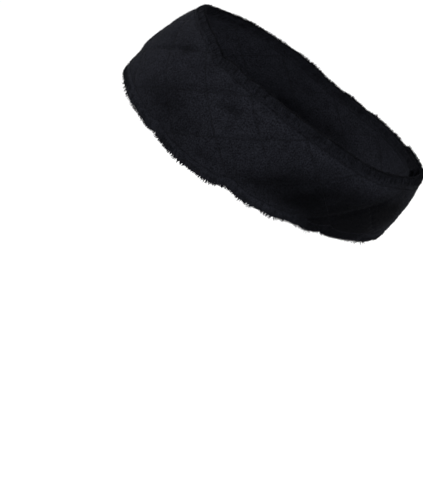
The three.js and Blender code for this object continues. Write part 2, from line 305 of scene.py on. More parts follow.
@dataclass(frozen=True)
class BandForm:
    """The band laid round the head: its edges, its cloth and its lap at the back."""

    head: HeadForm = field(default_factory=HeadForm)
    width: float = 0.062
    pad_thickness: float = 0.003
    hem_thickness: float = 0.0012
    border_width: float = 0.006
    border_wall: float = 0.001
    flat_margin: float = 0.010
    lap_length: float = 0.045
    lap_ease: float = 0.056
    lap_lead: float = 0.004
    inner_end_rise: float = 0.002
    fastener_thickness: float = 0.0016
    fit_gap: float = 0.0003
    skin_gap: float = 0.0004

    @property
    def border_thickness(self) -> float:
        """Full thickness of a border, over the pad's hem."""
        return self.hem_thickness + 2.0 * (self.fit_gap + self.border_wall)

    @property
    def slot_half(self) -> float:
        """Half the height of the slot in a border."""
        return self.hem_thickness / 2.0 + self.fit_gap

    @property
    def edge_inset(self) -> float:
        """Distance of the pad's own edge inside the band's edge."""
        return self.border_wall + self.fit_gap

    @property
    def hem_width(self) -> float:
        """Distance from the band's edge to where the pad swells."""
        return self.border_width + self.fit_gap

    @property
    def lap_raise(self) -> float:
        """How much further out the outer end lies than the inner end."""
        return self.pad_thickness + self.fastener_thickness + 2.0 * self.fit_gap

    def back_degrees(self, length: float) -> float:
        """Degrees round the loop that a length at the back takes."""
        radius = float(self.head.at(HALF_TURN, 0.0)[2]) + self.skin_gap + self.border_thickness / 2.0
        return math.degrees(length / radius)

    @property
    def end_angle(self) -> float:
        """Angle of the band's two ends, past the middle of the back."""
        return HALF_TURN + self.back_degrees(self.lap_length / 2.0)

    @property
    def raised_angle(self) -> float:
        """Angle from which the outer end is fully raised."""
        return FULL_TURN - self.end_angle - self.back_degrees(self.lap_lead)

    @property
    def ease_angle(self) -> float:
        """Angle at which the outer end begins to climb."""
        return self.raised_angle - self.back_degrees(self.lap_ease)

    def inside_end(self, distance: float) -> float:
        """Angle at a distance inside the band's end."""
        return self.end_angle - self.back_degrees(distance)

    @staticmethod
    def column(angle: np.ndarray, name: str) -> np.ndarray:
        """Value of one column of the sections, along a smooth curve through the rows.

        Args:
            angle: Degrees from the front, without a sign.
            name: The column's name.

        Returns:
            The column's value at each angle.
        """
        angles = np.array([row.angle for row in SECTIONS], float)
        values = np.array([getattr(row, name) for row in SECTIONS], float)
        last = len(SECTIONS) - 1
        row = np.clip(np.searchsorted(angles, angle, side="left") - 1, 0, last - 1)
        rows = [np.minimum(np.abs(row + step), last) for step in (-1, 0, 1, 2)]
        share = (angle - angles[rows[1]]) / (angles[rows[2]] - angles[rows[1]])
        before, here, after, beyond = (values[each] for each in rows)
        leaving, arriving = (after - before) / 2.0, (beyond - here) / 2.0
        rise = 2.0 * (here - after) + leaving + arriving
        bend = 3.0 * (after - here) - 2.0 * leaving - arriving
        return here + share * (leaving + share * (bend + share * rise))

    def edges(self, angle: np.ndarray) -> tuple[np.ndarray, np.ndarray]:
        """Where the two long edges run.

        Args:
            angle: Signed degrees round the loop.

        Returns:
            Heights of the lower and of the upper edge.
        """
        angle = np.asarray(angle, float)
        rise = self.inner_end_rise * smoothstep(-angle, self.ease_angle, HALF_TURN)
        shift = {"upper": rise, "lower": rise}
        for wave in (*WAVES, *NICKS):
            share = np.exp(-(((angle - wave.angle) / wave.spread) ** 2)) * self.border_width
            shift = {"upper": shift["upper"] + wave.upper * share, "lower": shift["lower"] + wave.lower * share}
        around = np.abs(angle)
        lower = shift["lower"] - self.width * self.column(around, "lower")
        upper = shift["upper"] + self.width * self.column(around, "upper")
        return lower, upper

    def middle(self, angle: np.ndarray, height: np.ndarray) -> np.ndarray:
        """How far the cloth's middle stands off the head.

        Args:
            angle: Signed degrees round the loop.
            height: Metres above the loop's plane.

        Returns:
            The distance, with the raised lap, the lifted edges and the dents.
        """
        lower, upper = self.edges(angle)
        share = (height - lower) / (upper - lower)
        around = np.abs(angle)
        lift = self.column(around, "lower_lift") * (1.0 - share) ** 2
        lift = (lift + self.column(around, "upper_lift") * share**2) * self.pad_thickness
        raised = self.lap_raise * smoothstep(angle, self.ease_angle, self.raised_angle)
        inside = np.minimum(height - lower, upper - height)
        fade = smoothstep(inside, self.hem_width, self.hem_width + self.flat_margin)
        radius = self.head.at(angle, 0.0)[2]
        dents = 0.0
        for dent in (*DENTS, *CREASES):
            run, rise = np.radians(angle - dent.angle) * radius, height - dent.height * self.width
            cosine, sine = math.cos(math.radians(dent.turn)), math.sin(math.radians(dent.turn))
            along = (run * cosine + rise * sine) / (dent.along * self.width)
            across = (rise * cosine - run * sine) / (dent.across * self.width)
            dents = dents + dent.depth * self.pad_thickness * np.exp(-(along**2) - across**2)
        return self.skin_gap + self.border_thickness / 2.0 + raised + lift - fade * dents

    def place(self, angle: np.ndarray, height: np.ndarray, offset: np.ndarray) -> np.ndarray:
        """Points of the band.

        Args:
            angle: Signed degrees round the loop.
            height: Metres above the loop's plane.
            offset: Metres outwards from the cloth's middle.

        Returns:
            The points in the row frame.
        """
        angle, height, offset = np.broadcast_arrays(
            np.asarray(angle, float), np.asarray(height, float), np.asarray(offset, float)
        )
        radius = self.head.at(angle, 0.0)[2]
        points, normals, _ = self.head.at(angle, height / radius)
        return points + normals * (self.middle(angle, height) + offset)[..., None]

    def length_along(self, angle: np.ndarray) -> np.ndarray:
        """Distance along the loop's plane from the front, positive on the wearer's left."""
        grid, lengths = self.length_table()
        return np.interp(angle, grid, lengths)

    def angle_along(self, length: np.ndarray) -> np.ndarray:
        """Signed angle at a distance along the loop's plane from the front."""
        grid, lengths = self.length_table()
        return np.interp(length, lengths, grid)

    def length_table(self) -> tuple[np.ndarray, np.ndarray]:
        """Lengths of the loop in small steps.

        Returns:
            Angles to past both ends of the band, and the distance from the front at each.
        """
        grid = np.linspace(-TABLE_REACH, TABLE_REACH, TABLE_ROWS)
        middles = (grid[1:] + grid[:-1]) / 2.0
        steps = self.head.at(middles, 0.0)[2] * np.radians(np.diff(grid))
        lengths = np.concatenate(([0.0], np.cumsum(steps)))
        return grid, lengths - np.interp(0.0, grid, lengths)

    def frames(self, angle: np.ndarray, height: np.ndarray) -> dict[str, np.ndarray]:
        """Directions of the cloth at places of the band.

        Args:
            angle: Signed degrees round the loop.
            height: Metres above the loop's plane.

        Returns:
            Unit vectors outward, along the loop and up across the cloth.
        """
        turn, rise = 0.2, 0.0004
        along = self.place(angle + turn, height, 0.0) - self.place(angle - turn, height, 0.0)
        up = self.place(angle, height + rise, 0.0) - self.place(angle, height - rise, 0.0)
        outward = np.cross(along, up)
        ways = (("outward", outward), ("along", along), ("up", up))
        return {name: way / np.linalg.norm(way, axis=-1, keepdims=True) for name, way in ways}


class ClothNoise:
    """Smooth seeded noise over the flat cloth."""

    def __init__(self, seed: int, cells: int = 128) -> None:
        """Makes the lattice of random values."""
        self.cells = cells
        self.lattice = np.random.default_rng(seed).uniform(-1.0, 1.0, (cells, cells))

    def at(self, run: np.ndarray, rise: np.ndarray, size: float) -> np.ndarray:
        """Values at places on the cloth.

        Args:
            run: Metres along the flat cloth.
            rise: Metres across it.
            size: Metres from one blotch to the next.

        Returns:
            Values from -1 to 1.
        """
        across, up = np.broadcast_arrays(np.asarray(run, float) / size, np.asarray(rise, float) / size)
        left, low = np.floor(across).astype(int), np.floor(up).astype(int)
        x, y = smoothstep(across - left, 0.0, 1.0), smoothstep(up - low, 0.0, 1.0)
        bottom = self.corner(left, low) * (1 - x) + self.corner(left + 1, low) * x
        top = self.corner(left, low + 1) * (1 - x) + self.corner(left + 1, low + 1) * x
        return bottom * (1 - y) + top * y

    def corner(self, column: np.ndarray, row: np.ndarray) -> np.ndarray:
        """Values of the lattice, repeated past its ends."""
        return self.lattice[column % self.cells, row % self.cells]


def blotches_and_painted_light(runs: np.ndarray, heights: np.ndarray) -> np.ndarray:
    """How light or dark the pile is: its random blotches, with the painted sheen and painted shade of the patches.

    Args:
        runs: Metres along the flat cloth.
        heights: Metres across it.

    Returns:
        Tones from -1 to 1, lighter above nought.
    """
    total = 0.0
    for blotch in BLOTCHES:
        total = total + blotch.tone * ClothNoise(blotch.seed).at(runs, heights, blotch.size)
    # painted sheen and painted shade of the patches
    for patch in PAINTED_LIGHT_PATCHES:
        run, rise = runs - patch.run * MM, heights - patch.rise * MM
        cosine, sine = math.cos(math.radians(patch.turn)), math.sin(math.radians(patch.turn))
        along = (run * cosine + rise * sine) / (patch.along * MM)
        across = (rise * cosine - run * sine) / (patch.across * MM)
        total = total + patch.tone * np.exp(-((along**2 + across**2) ** 1.5))
    return np.clip(total, -1.0, 1.0)


@dataclass(frozen=True)
class Quilting:
    """Two crossing families of stitch lines that press the pad into soft diamonds."""

    pitch: float = 0.0412
    slope: float = 0.72
    rising_start: float = 0.0893
    falling_start: float = 0.1135
    line_reach: float = 0.0013
    line_share: float = 0.5
    falling_share: float = 0.75

    @property
    def lean(self) -> float:
        """Angle of a stitch line from the loop's plane, in radians."""
        return math.atan(self.slope)

    def phases(self, run: np.ndarray, rise: np.ndarray) -> tuple[np.ndarray, np.ndarray]:
        """Places on the flat cloth, counted in stitch lines.

        Args:
            run: Metres along the flat cloth.
            rise: Metres across it.

        Returns:
            How many pitches each place lies past the first rising and the first falling line.
        """
        rising = (run - self.rising_start - rise / self.slope) / self.pitch
        falling = (run - self.falling_start + rise / self.slope) / self.pitch
        return rising, falling

    def distance(self, run: np.ndarray, rise: np.ndarray) -> np.ndarray:
        """Distance on the cloth to the nearest stitch line."""
        nearest = np.minimum(*(np.abs(phase - np.round(phase)) for phase in self.phases(run, rise)))
        return nearest * self.pitch * math.sin(self.lean)

    def groove(self, run: np.ndarray, rise: np.ndarray) -> np.ndarray:
        """How deep the pad is pressed in.

        Args:
            run: Metres along the flat cloth.
            rise: Metres across it.

        Returns:
            Shares of the full depth, 0 on a puff's top and 1 on the stitch lines.
        """
        rising, falling = self.phases(run, rise)
        puff = np.sqrt(np.abs(np.sin(np.pi * rising) * np.sin(np.pi * falling)))
        pressed = np.exp(-((self.distance(run, rise) / self.line_reach) ** 2))
        return (1.0 - self.line_share) * (1.0 - puff) + self.line_share * pressed

    def pucker(self, run: np.ndarray, rise: np.ndarray, spread: float, wavelength: float) -> np.ndarray:
        """Small folds that run out from the stitch lines, from -1 to 1.

        Args:
            run: Metres along the flat cloth.
            rise: Metres across it.
            spread: How far from a line the folds die out.
            wavelength: Distance between two folds along the line.

        Returns:
            The folds' height at each place.
        """
        total = 0.0
        for phase, sign in zip(self.phases(run, rise), (1.0, -1.0)):
            off = np.abs(phase - np.round(phase)) * self.pitch * math.sin(self.lean)
            along = run * math.cos(self.lean) + sign * rise * math.sin(self.lean)
            total = total + np.exp(-((off / spread) ** 2)) * np.cos(2.0 * np.pi * along / wavelength)
        return total

    def lines(self, first: float, last: float, step: float, reach: float) -> list[tuple[np.ndarray, np.ndarray]]:
        """Points of each stitch line on the flat cloth, from below the band to above it.

        Args:
            first: Lowest distance along the loop that a line may cross.
            last: Highest such distance.
            step: Distance between two points.
            reach: How far above and below the loop's plane a line runs.

        Returns:
            The runs and the rises of each line's points.
        """
        rises = np.arange(-reach, reach + step, step)
        found = []
        for start, sign in ((self.rising_start, 1.0), (self.falling_start, -1.0)):
            low = math.floor((first - start) / self.pitch) - 2
            high = math.ceil((last - start) / self.pitch) + 2
            for index in range(low, high + 1):
                found.append((start + index * self.pitch + sign * rises / self.slope, rises))
        return found


# Node trees


class Tree:
    """A node tree that is filled one node at a time."""

    def __init__(self, tree: bpy.types.NodeTree) -> None:
        """Takes the tree to fill."""
        self.tree = tree

    @classmethod
    def group(cls, name: str, kind: str) -> "Tree":
        """Starts a new node group of a kind."""
        return cls(bpy.data.node_groups.new(name, kind))

    def socket(self, name: str, kind: str, value: object = None, out: bool = False) -> None:
        """Adds a named input, or an output, with its starting value."""
        made = self.tree.interface.new_socket(name, in_out="OUTPUT" if out else "INPUT", socket_type=kind)
        if value is not None:
            made.default_value = value

    def identifier(self, name: str) -> str:
        """Identifier of a named input."""
        return next(
            item.identifier
            for item in self.tree.interface.items_tree
            if item.item_type == "SOCKET" and item.in_out == "INPUT" and item.name == name
        )

    def add(self, kind: str, inputs: dict | None = None, **settings: object) -> bpy.types.Node:
        """Adds a node.

        Args:
            kind: The node's type.
            inputs: Input name or number, and the value or the output socket that feeds it.
            settings: Properties of the node.

        Returns:
            The node.
        """
        node = self.tree.nodes.new(kind)
        for name, value in settings.items():
            setattr(node, name, value)
        for name, value in (inputs or {}).items():
            if isinstance(value, bpy.types.NodeSocket):
                self.tree.links.new(value, node.inputs[name])
            else:
                node.inputs[name].default_value = value
        return node

    def math(self, operation: str, first: object, second: object = 0.0) -> bpy.types.NodeSocket:
        """Adds a maths node of two values and returns its result."""
        return self.add("ShaderNodeMath", {0: first, 1: second}, operation=operation).outputs[0]

    def vector(self, operation: str, first: object, second: object) -> bpy.types.NodeSocket:
        """Adds a maths node of two vectors and returns its result."""
        return self.add("ShaderNodeVectorMath", {0: first, 1: second}, operation=operation).outputs[0]

    def scale(self, vector: object, factor: object) -> bpy.types.NodeSocket:
        """Adds a node that scales a vector and returns its result."""
        return self.add("ShaderNodeVectorMath", {0: vector, "Scale": factor}, operation="SCALE").outputs[0]

    def mix(self, share: object, first: object, second: object) -> bpy.types.NodeSocket:
        """Adds a mix of two colours and returns its result."""
        return self.add("ShaderNodeMix", {0: share, 6: first, 7: second}, data_type="RGBA").outputs[2]

    def spread(
        self, value: object, low: float, high: float, to_low: float, to_high: float
    ) -> bpy.types.NodeSocket:
        """Maps a range of values on to another and returns the result."""
        inputs = {"Value": value, "From Min": low, "From Max": high, "To Min": to_low, "To Max": to_high}
        return self.add("ShaderNodeMapRange", inputs).outputs[0]


def fibre_group() -> Tree:
    """Shader group for the short fibres of pile, thread and tape.

    Returns:
        The group, with the inputs Vector, Scale, Stretch and Clumps, and the outputs Fleck, Height and Tint.
    """
    group = Tree.group("fibre_grain", "ShaderNodeTree")
    group.socket("Vector", "NodeSocketVector")
    group.socket("Scale", "NodeSocketFloat", 60.0)
    group.socket("Stretch", "NodeSocketFloat", 0.4)
    group.socket("Clumps", "NodeSocketFloat", 0.25)
    group.socket("Fleck", "NodeSocketFloat", out=True)
    group.socket("Height", "NodeSocketFloat", out=True)
    group.socket("Tint", "NodeSocketFloat", out=True)
    start = group.add("NodeGroupInput")
    stretch = group.add("ShaderNodeCombineXYZ", {0: 1.0, 1: start.outputs["Stretch"], 2: 1.0}).outputs[0]
    place = group.vector("MULTIPLY", start.outputs["Vector"], stretch)
    fine = group.add(
        "ShaderNodeTexNoise",
        {"Vector": place, "Scale": start.outputs["Scale"], "Detail": 3.0, "Roughness": 0.6, "Distortion": 0.4},
    ).outputs[0]
    clump = group.add(
        "ShaderNodeTexNoise",
        {
            "Vector": place,
            "Scale": group.math("MULTIPLY", start.outputs["Scale"], start.outputs["Clumps"]),
            "Detail": 2.0,
            "Roughness": 0.5,
        },
    ).outputs[0]
    strands = group.add(
        "ShaderNodeTexVoronoi", {"Vector": place, "Scale": group.math("MULTIPLY", start.outputs["Scale"], 2.2)}
    ).outputs[0]
    fleck = group.spread(group.math("ADD", fine, group.math("MULTIPLY", clump, 0.24)), 0.46, 0.78, 0.0, 1.0)
    height = group.math("SUBTRACT", fine, group.math("MULTIPLY", strands, 0.35))
    tint = group.spread(clump, 0.35, 0.65, 0.0, 1.0)
    group.add("NodeGroupOutput", {"Fleck": fleck, "Height": height, "Tint": tint})
    return group


def groove_shade_group(quilting: Quilting, span: float) -> Tree:
    """Shader group for the narrow line of painted shade along each stitch groove, where the stitch presses the
    pile down.

    Args:
        quilting: The two families of stitch lines.
        span: Length of cloth that one unit of the UV map stands for.

    Returns:
        The group, with the inputs Vector and Reach, and the output Line, 1 on a stitch line.
    """
    group = Tree.group("seam_lines", "ShaderNodeTree")
    group.socket("Vector", "NodeSocketVector")
    group.socket("Reach", "NodeSocketFloat", 0.001)
    group.socket("Line", "NodeSocketFloat", out=True)
    start = group.add("NodeGroupInput")
    place = group.add("ShaderNodeSeparateXYZ", {0: start.outputs["Vector"]}).outputs
    rise = group.math("SUBTRACT", place[1], group.math("ROUND", place[1]))
    rise = group.math("MULTIPLY", rise, span / (quilting.slope * quilting.pitch))
    run = group.math("MULTIPLY", place[0], span / quilting.pitch)
    lines = []
    families = (("SUBTRACT", quilting.rising_start, 1.0), ("ADD", quilting.falling_start, quilting.falling_share))
    for operation, first, strength in families:
        phase = group.math("SUBTRACT", group.math(operation, run, rise), first / quilting.pitch)
        gap = group.math("SUBTRACT", phase, group.math("ROUND", phase))
        distance = group.math("MULTIPLY", gap, quilting.pitch * math.sin(quilting.lean))
        share = group.math("DIVIDE", distance, start.outputs["Reach"])
        fall_off = group.math("EXPONENT", group.math("MULTIPLY", group.math("MULTIPLY", share, share), -1.0))
        lines.append(group.math("MULTIPLY", fall_off, strength))
    line = group.math("MAXIMUM", *lines)
    # random fading of the painted groove shade along the lines
    fading = group.add(
        "ShaderNodeTexNoise", {"Vector": start.outputs["Vector"], "Scale": 7.0, "Detail": 1.0}
    ).outputs[0]
    kept = group.spread(fading, 0.36, 0.56, 0.3, 1.0)
    group.add("NodeGroupOutput", {"Line": group.math("MULTIPLY", line, kept)})
    return group


def geometry_group(name: str, **sizes: float) -> tuple[Tree, bpy.types.Node]:
    """Starts a geometry tree that grows something on its input.

    Args:
        name: The tree's name.
        sizes: Name and starting value of each size that it takes, beside a seed and a material.

    Returns:
        The tree and its input node.
    """
    group = Tree.group(name, "GeometryNodeTree")
    group.socket("Geometry", "NodeSocketGeometry", out=True)
    group.socket("Geometry", "NodeSocketGeometry")
    for label, value in sizes.items():
        group.socket(label, "NodeSocketFloat", value)
    group.socket("Seed", "NodeSocketInt", 1)
    group.socket("Material", "NodeSocketMaterial")
    return group, group.add("NodeGroupInput")


def scatter(group: Tree, start: bpy.types.Node, **inputs: bpy.types.NodeSocket) -> None:
    """Puts an instance on each point and ends the tree in plain, smooth geometry with its material.

    Args:
        group: The tree.
        start: Its input node.
        inputs: Points, Instance and Rotation, and Scale where the instances differ in size.
    """
    placed = group.add("GeometryNodeInstanceOnPoints", inputs).outputs[0]
    real = group.add("GeometryNodeRealizeInstances", {0: placed}).outputs[0]
    smooth = group.add("GeometryNodeSetShadeSmooth", {0: real}).outputs[0]
    dressed = group.add(
        "GeometryNodeSetMaterial", {"Geometry": smooth, "Material": start.outputs["Material"]}
    ).outputs[0]
    group.add("NodeGroupOutput", {"Geometry": dressed})


def attribute(group: Tree, name: str, kind: str = "FLOAT_VECTOR") -> bpy.types.NodeSocket:
    """Named attribute of the geometry, in a geometry tree."""
    return group.add("GeometryNodeInputNamedAttribute", {"Name": name}, data_type=kind).outputs[0]


def random_vector(group: Tree, low: tuple, high: tuple, seed: object) -> bpy.types.NodeSocket:
    """Random vector for each element, in a geometry tree."""
    return group.add("FunctionNodeRandomValue", {0: low, 1: high, 8: seed}, data_type="FLOAT_VECTOR").outputs[0]


def tilted(
    group: Tree, rotation: bpy.types.NodeSocket, low: tuple, high: tuple, seed: object
) -> bpy.types.NodeSocket:
    """Turns a rotation further, by random angles about its own axes.

    Args:
        group: The tree.
        rotation: The rotation to start from.
        low: Least angle about each axis, in radians.
        high: Greatest angle about each axis.
        seed: Seed of the angles.

    Returns:
        The new rotation.
    """
    tilt = group.add("FunctionNodeEulerToRotation", {0: random_vector(group, low, high, seed)}).outputs[0]
    return group.add(
        "FunctionNodeRotateRotation", {"Rotation": rotation, "Rotate By": tilt}, rotation_space="LOCAL"
    ).outputs[0]


def along_path(group: Tree, start: bpy.types.Node) -> tuple[bpy.types.NodeSocket, bpy.types.NodeSocket]:
    """Points along a path and their rotation, with Z along the path and Y out of the cloth.

    Args:
        group: The tree, with the inputs Pitch, Wobble and Seed.
        start: Its input node.

    Returns:
        The points, moved at random in the cloth, and their rotation.
    """
    curve = group.add("GeometryNodeMeshToCurve", {"Mesh": start.outputs["Geometry"]}).outputs[0]
    points = group.add(
        "GeometryNodeCurveToPoints", {"Curve": curve, "Length": start.outputs["Pitch"]}, mode="LENGTH"
    ).outputs[0]
    way = random_vector(group, (-1, -1, -1), (1, 1, 1), start.outputs["Seed"])
    wobble = group.scale(way, start.outputs["Wobble"])
    moved = group.add("GeometryNodeSetPosition", {"Geometry": points, "Offset": wobble}).outputs[0]
    first = group.add(
        "FunctionNodeAlignRotationToVector", {"Vector": attribute(group, "forward")}, axis="Z"
    ).outputs[0]
    second = group.add(
        "FunctionNodeAlignRotationToVector",
        {"Rotation": first, "Vector": attribute(group, "outward")},
        axis="Y",
        pivot_axis="Z",
    ).outputs[0]
    return moved, second


def stitch_tree() -> Tree:
    """Geometry tree that lays short rounded stitches along a path.

    Returns:
        The tree, with the inputs Pitch, Length, Thickness, Wobble, Seed and Material.
    """
    group, start = geometry_group("stitches", Pitch=0.003, Length=0.0022, Thickness=0.0004, Wobble=0.0)
    points, rotation = along_path(group, start)
    ball = group.add("GeometryNodeMeshUVSphere", {"Segments": 6, "Rings": 5, "Radius": 0.5}).outputs[0]
    shape = group.add(
        "ShaderNodeCombineXYZ",
        {0: start.outputs["Thickness"], 1: start.outputs["Thickness"], 2: start.outputs["Length"]},
    ).outputs[0]
    stitch = group.add("GeometryNodeTransform", {"Geometry": ball, "Scale": shape}).outputs[0]
    turned = tilted(group, rotation, (-0.12, -0.2, 0), (0.12, 0.2, 0), start.outputs["Seed"])
    scatter(group, start, Points=points, Instance=stitch, Rotation=turned)
    return group


def wrap_tree() -> Tree:
    """Geometry tree that wraps overlock thread round an edge, one rounded turn at each pitch.

    Returns:
        The tree, with the inputs Pitch, Depth, Height, Thickness, Corner, Slant, Wobble, Seed and Material.
    """
    group, start = geometry_group(
        "overlock_wraps", Pitch=0.0014, Depth=0.006, Height=0.004, Thickness=0.0004, Corner=0.001, Slant=0.2,
        Wobble=0.0,
    )
    points, rotation = along_path(group, start)
    oblong = group.add(
        "GeometryNodeCurvePrimitiveQuadrilateral",
        {"Width": start.outputs["Depth"], "Height": start.outputs["Height"]},
        mode="RECTANGLE",
    ).outputs[0]
    rounded = group.add(
        "GeometryNodeFilletCurve",
        {"Curve": oblong, "Count": 4, "Radius": start.outputs["Corner"], "Limit Radius": True},
        mode="POLY",
    ).outputs[0]
    thread = group.add(
        "GeometryNodeCurvePrimitiveCircle",
        {"Resolution": 5, "Radius": group.math("MULTIPLY", start.outputs["Thickness"], 0.5)},
        mode="RADIUS",
    ).outputs[0]
    ring = group.add("GeometryNodeCurveToMesh", {"Curve": rounded, "Profile Curve": thread}).outputs[0]
    half = group.math("MULTIPLY", start.outputs["Depth"], 0.5)
    offset = group.add("ShaderNodeCombineXYZ", {0: half, 1: 0.0, 2: 0.0}).outputs[0]
    lean = group.add("ShaderNodeCombineXYZ", {0: 0.0, 1: start.outputs["Slant"], 2: 0.0}).outputs[0]
    turn = group.add(
        "GeometryNodeTransform", {"Geometry": ring, "Translation": offset, "Rotation": lean}
    ).outputs[0]
    turned = tilted(group, rotation, (-0.05, -0.14, -0.03), (0.05, 0.14, 0.03), start.outputs["Seed"])
    size = random_vector(group, (0.9, 0.97, 1.0), (1.06, 1.05, 1.0), start.outputs["Seed"])
    scatter(group, start, Points=points, Instance=turn, Rotation=turned, Scale=size)
    return group


def fringe_tree() -> Tree:
    """Geometry tree that sets tapering ends of fibre along an edge, pointing out of the cloth's side.

    Returns:
        The tree, with the inputs Pitch, Length, Thickness, Wobble, Seed and Material.
    """
    group, start = geometry_group("fringe", Pitch=0.001, Length=0.0015, Thickness=0.0004, Wobble=0.0)
    points, rotation = along_path(group, start)
    cone = group.add(
        "GeometryNodeMeshCone",
        {
            "Vertices": 4,
            "Side Segments": 1,
            "Radius Top": group.math("MULTIPLY", start.outputs["Thickness"], 0.2),
            "Radius Bottom": group.math("MULTIPLY", start.outputs["Thickness"], 0.5),
            "Depth": start.outputs["Length"],
        },
        fill_type="NGON",
    ).outputs[0]
    fibre = group.add(
        "GeometryNodeTransform", {"Geometry": cone, "Rotation": (0.0, -math.pi / 2.0, 0.0)}
    ).outputs[0]
    turned = tilted(group, rotation, (0, -0.35, -0.9), (0, 0.35, 0.0), start.outputs["Seed"])
    tuft = group.add("ShaderNodeTexNoise", {"Scale": 110.0, "Detail": 1.0}).outputs[0]
    length = group.spread(tuft, 0.4, 0.6, 0.6, 1.1)
    reach = group.add("ShaderNodeCombineXYZ", {0: length, 1: 1.0, 2: 1.0}).outputs[0]
    varied = random_vector(group, (0.75, 0.7, 0.7), (1.1, 1.2, 1.2), start.outputs["Seed"])
    size = group.vector("MULTIPLY", varied, reach)
    scatter(group, start, Points=points, Instance=fibre, Rotation=turned, Scale=size)
    return group


def pile_tree() -> Tree:
    """Geometry tree that grows short leaning hairs on a mesh, as thick as its pile attribute says.

    Returns:
        The tree, with the inputs Density, Length, Thickness, Lean, Tangle, Seed and Material.
    """
    group, start = geometry_group("pile", Density=1.0e6, Length=0.0009, Thickness=0.00012, Lean=0.6, Tangle=0.5)
    density = group.math("MULTIPLY", start.outputs["Density"], attribute(group, "pile", "FLOAT"))
    spots = group.add(
        "GeometryNodeDistributePointsOnFaces",
        {"Mesh": start.outputs["Geometry"], "Density": density, "Seed": start.outputs["Seed"]},
        distribute_method="RANDOM",
    )
    lean = group.scale(attribute(group, "lay"), start.outputs["Lean"])
    stray = random_vector(group, (-1, -1, -1), (1, 1, 1), start.outputs["Seed"])
    tangle = group.scale(stray, start.outputs["Tangle"])
    way = group.vector("ADD", group.vector("ADD", spots.outputs["Normal"], lean), tangle)
    rotation = group.add("FunctionNodeAlignRotationToVector", {"Vector": way}, axis="Z").outputs[0]
    hair = group.add(
        "GeometryNodeMeshCone",
        {
            "Vertices": 3,
            "Side Segments": 1,
            "Radius Top": 0.0,
            "Radius Bottom": group.math("MULTIPLY", start.outputs["Thickness"], 0.5),
            "Depth": start.outputs["Length"],
        },
        fill_type="NGON",
    ).outputs[0]
    size = random_vector(group, (0.7, 0.7, 0.6), (1.2, 1.2, 1.2), start.outputs["Seed"])
    scatter(group, start, Points=spots.outputs["Points"], Instance=hair, Rotation=rotation, Scale=size)
    return group


# Finishes


@dataclass(frozen=True)
class Fibre:
    """Finish of short or spun fibres: velvet, overlock thread or woven tape."""

    name: str
    dark: tuple[float, float, float]
    light: tuple[float, float, float]
    scale: float
    bump: float
    bump_height: float
    stretch: float = 1.0
    clumps: float = 0.3
    roughness: float = 0.86
    sheen: float = 0.008
    sheen_roughness: float = 0.4
    sheen_tint: tuple[float, float, float] = (0.8, 0.86, 1.0)
    specular: float = 0.015
    tone_share: float = 0.8
    uses_uv: bool = False
    # Painted shade along the stitch grooves: its strength, its reach and its fixed dark colour
    groove_shade_share: float = 0.6
    groove_shade_reach: float = 0.0006
    groove_shade_colour: tuple[float, float, float] = (0.0046, 0.0049, 0.0064)

    def material(self, grain: Tree, seams: Tree) -> bpy.types.Material:
        """Makes the material.

        Args:
            grain: The shared fibre group.
            seams: The group that paints shade along the stitch lines, used where the finish has a UV map.

        Returns:
            The material, which reads the attribute tone where the mesh has it.
        """
        made = bpy.data.materials.new(self.name)
        made.use_nodes = True
        made.node_tree.nodes.clear()
        tree = Tree(made.node_tree)
        place = tree.add("ShaderNodeTexCoord").outputs["UV" if self.uses_uv else "Object"]
        fibres = tree.add(
            "ShaderNodeGroup",
            {"Vector": place, "Scale": self.scale, "Stretch": self.stretch, "Clumps": self.clumps},
            node_tree=grain.tree,
        ).outputs
        # tone carries the pile's random blotches with the painted sheen and painted shade of the patches
        tone = tree.add("ShaderNodeAttribute", attribute_name="tone").outputs["Fac"]
        share = tree.math("MULTIPLY", tone, self.tone_share)
        brightness = tree.math("ADD", share, 1.0)
        fleck = tree.mix(fibres["Fleck"], (*self.dark, 1.0), (*self.light, 1.0))
        colour = tree.scale(fleck, brightness)
        # painted shade along the stitch grooves, mixed into the colour where the cloth has a UV map
        if self.uses_uv:
            seam = tree.add("ShaderNodeGroup", {"Vector": place, "Reach": self.groove_shade_reach}, node_tree=seams.tree)
            pressed = tree.math("MULTIPLY", seam.outputs["Line"], self.groove_shade_share)
            colour = tree.mix(pressed, colour, (*self.groove_shade_colour, 1.0))
        rough = tree.spread(fibres["Tint"], 0.0, 1.0, self.roughness - 0.08, self.roughness + 0.05)
        bump = tree.add(
            "ShaderNodeBump",
            {"Strength": self.bump, "Distance": self.bump_height, "Height": fibres["Height"]},
        ).outputs[0]
        shader = tree.add(
            "ShaderNodeBsdfPrincipled",
            {
                "Base Color": colour,
                "Roughness": rough,
                "Normal": bump,
                "Specular IOR Level": self.specular,
                "Sheen Weight": self.sheen,
                "Sheen Roughness": self.sheen_roughness,
                "Sheen Tint": (*self.sheen_tint, 1.0),
            },
        )
        tree.add("ShaderNodeOutputMaterial", {"Surface": shader.outputs[0]})
        return made


VELVET = Fibre(
    "black_velvet", dark=(0.0032, 0.0034, 0.0047), light=(0.0142, 0.0151, 0.0199), scale=130.0, stretch=0.75,
    clumps=0.2, bump=0.6, bump_height=0.0005, uses_uv=True,
)
PILE = Fibre(
    "velvet_pile", dark=(0.0036, 0.0038, 0.0052), light=(0.0156, 0.0166, 0.0218), scale=900.0, clumps=0.1,
    bump=0.1, bump_height=0.0001,
)
ROLLED = Fibre(
    "rolled_velvet", dark=(0.0032, 0.0034, 0.0047), light=(0.0142, 0.0151, 0.0199), scale=1300.0, clumps=0.2,
    bump=0.5, bump_height=0.0004, sheen_tint=(0.82, 0.87, 1.0),
)
THREAD = Fibre(
    "overlock_thread", dark=(0.0017, 0.0018, 0.0025), light=(0.0082, 0.0087, 0.0114), scale=2600.0, bump=0.35,
    bump_height=0.0001, roughness=0.75, sheen=0.006, sheen_tint=(0.85, 0.9, 1.0), specular=0.02, tone_share=0.6,
)
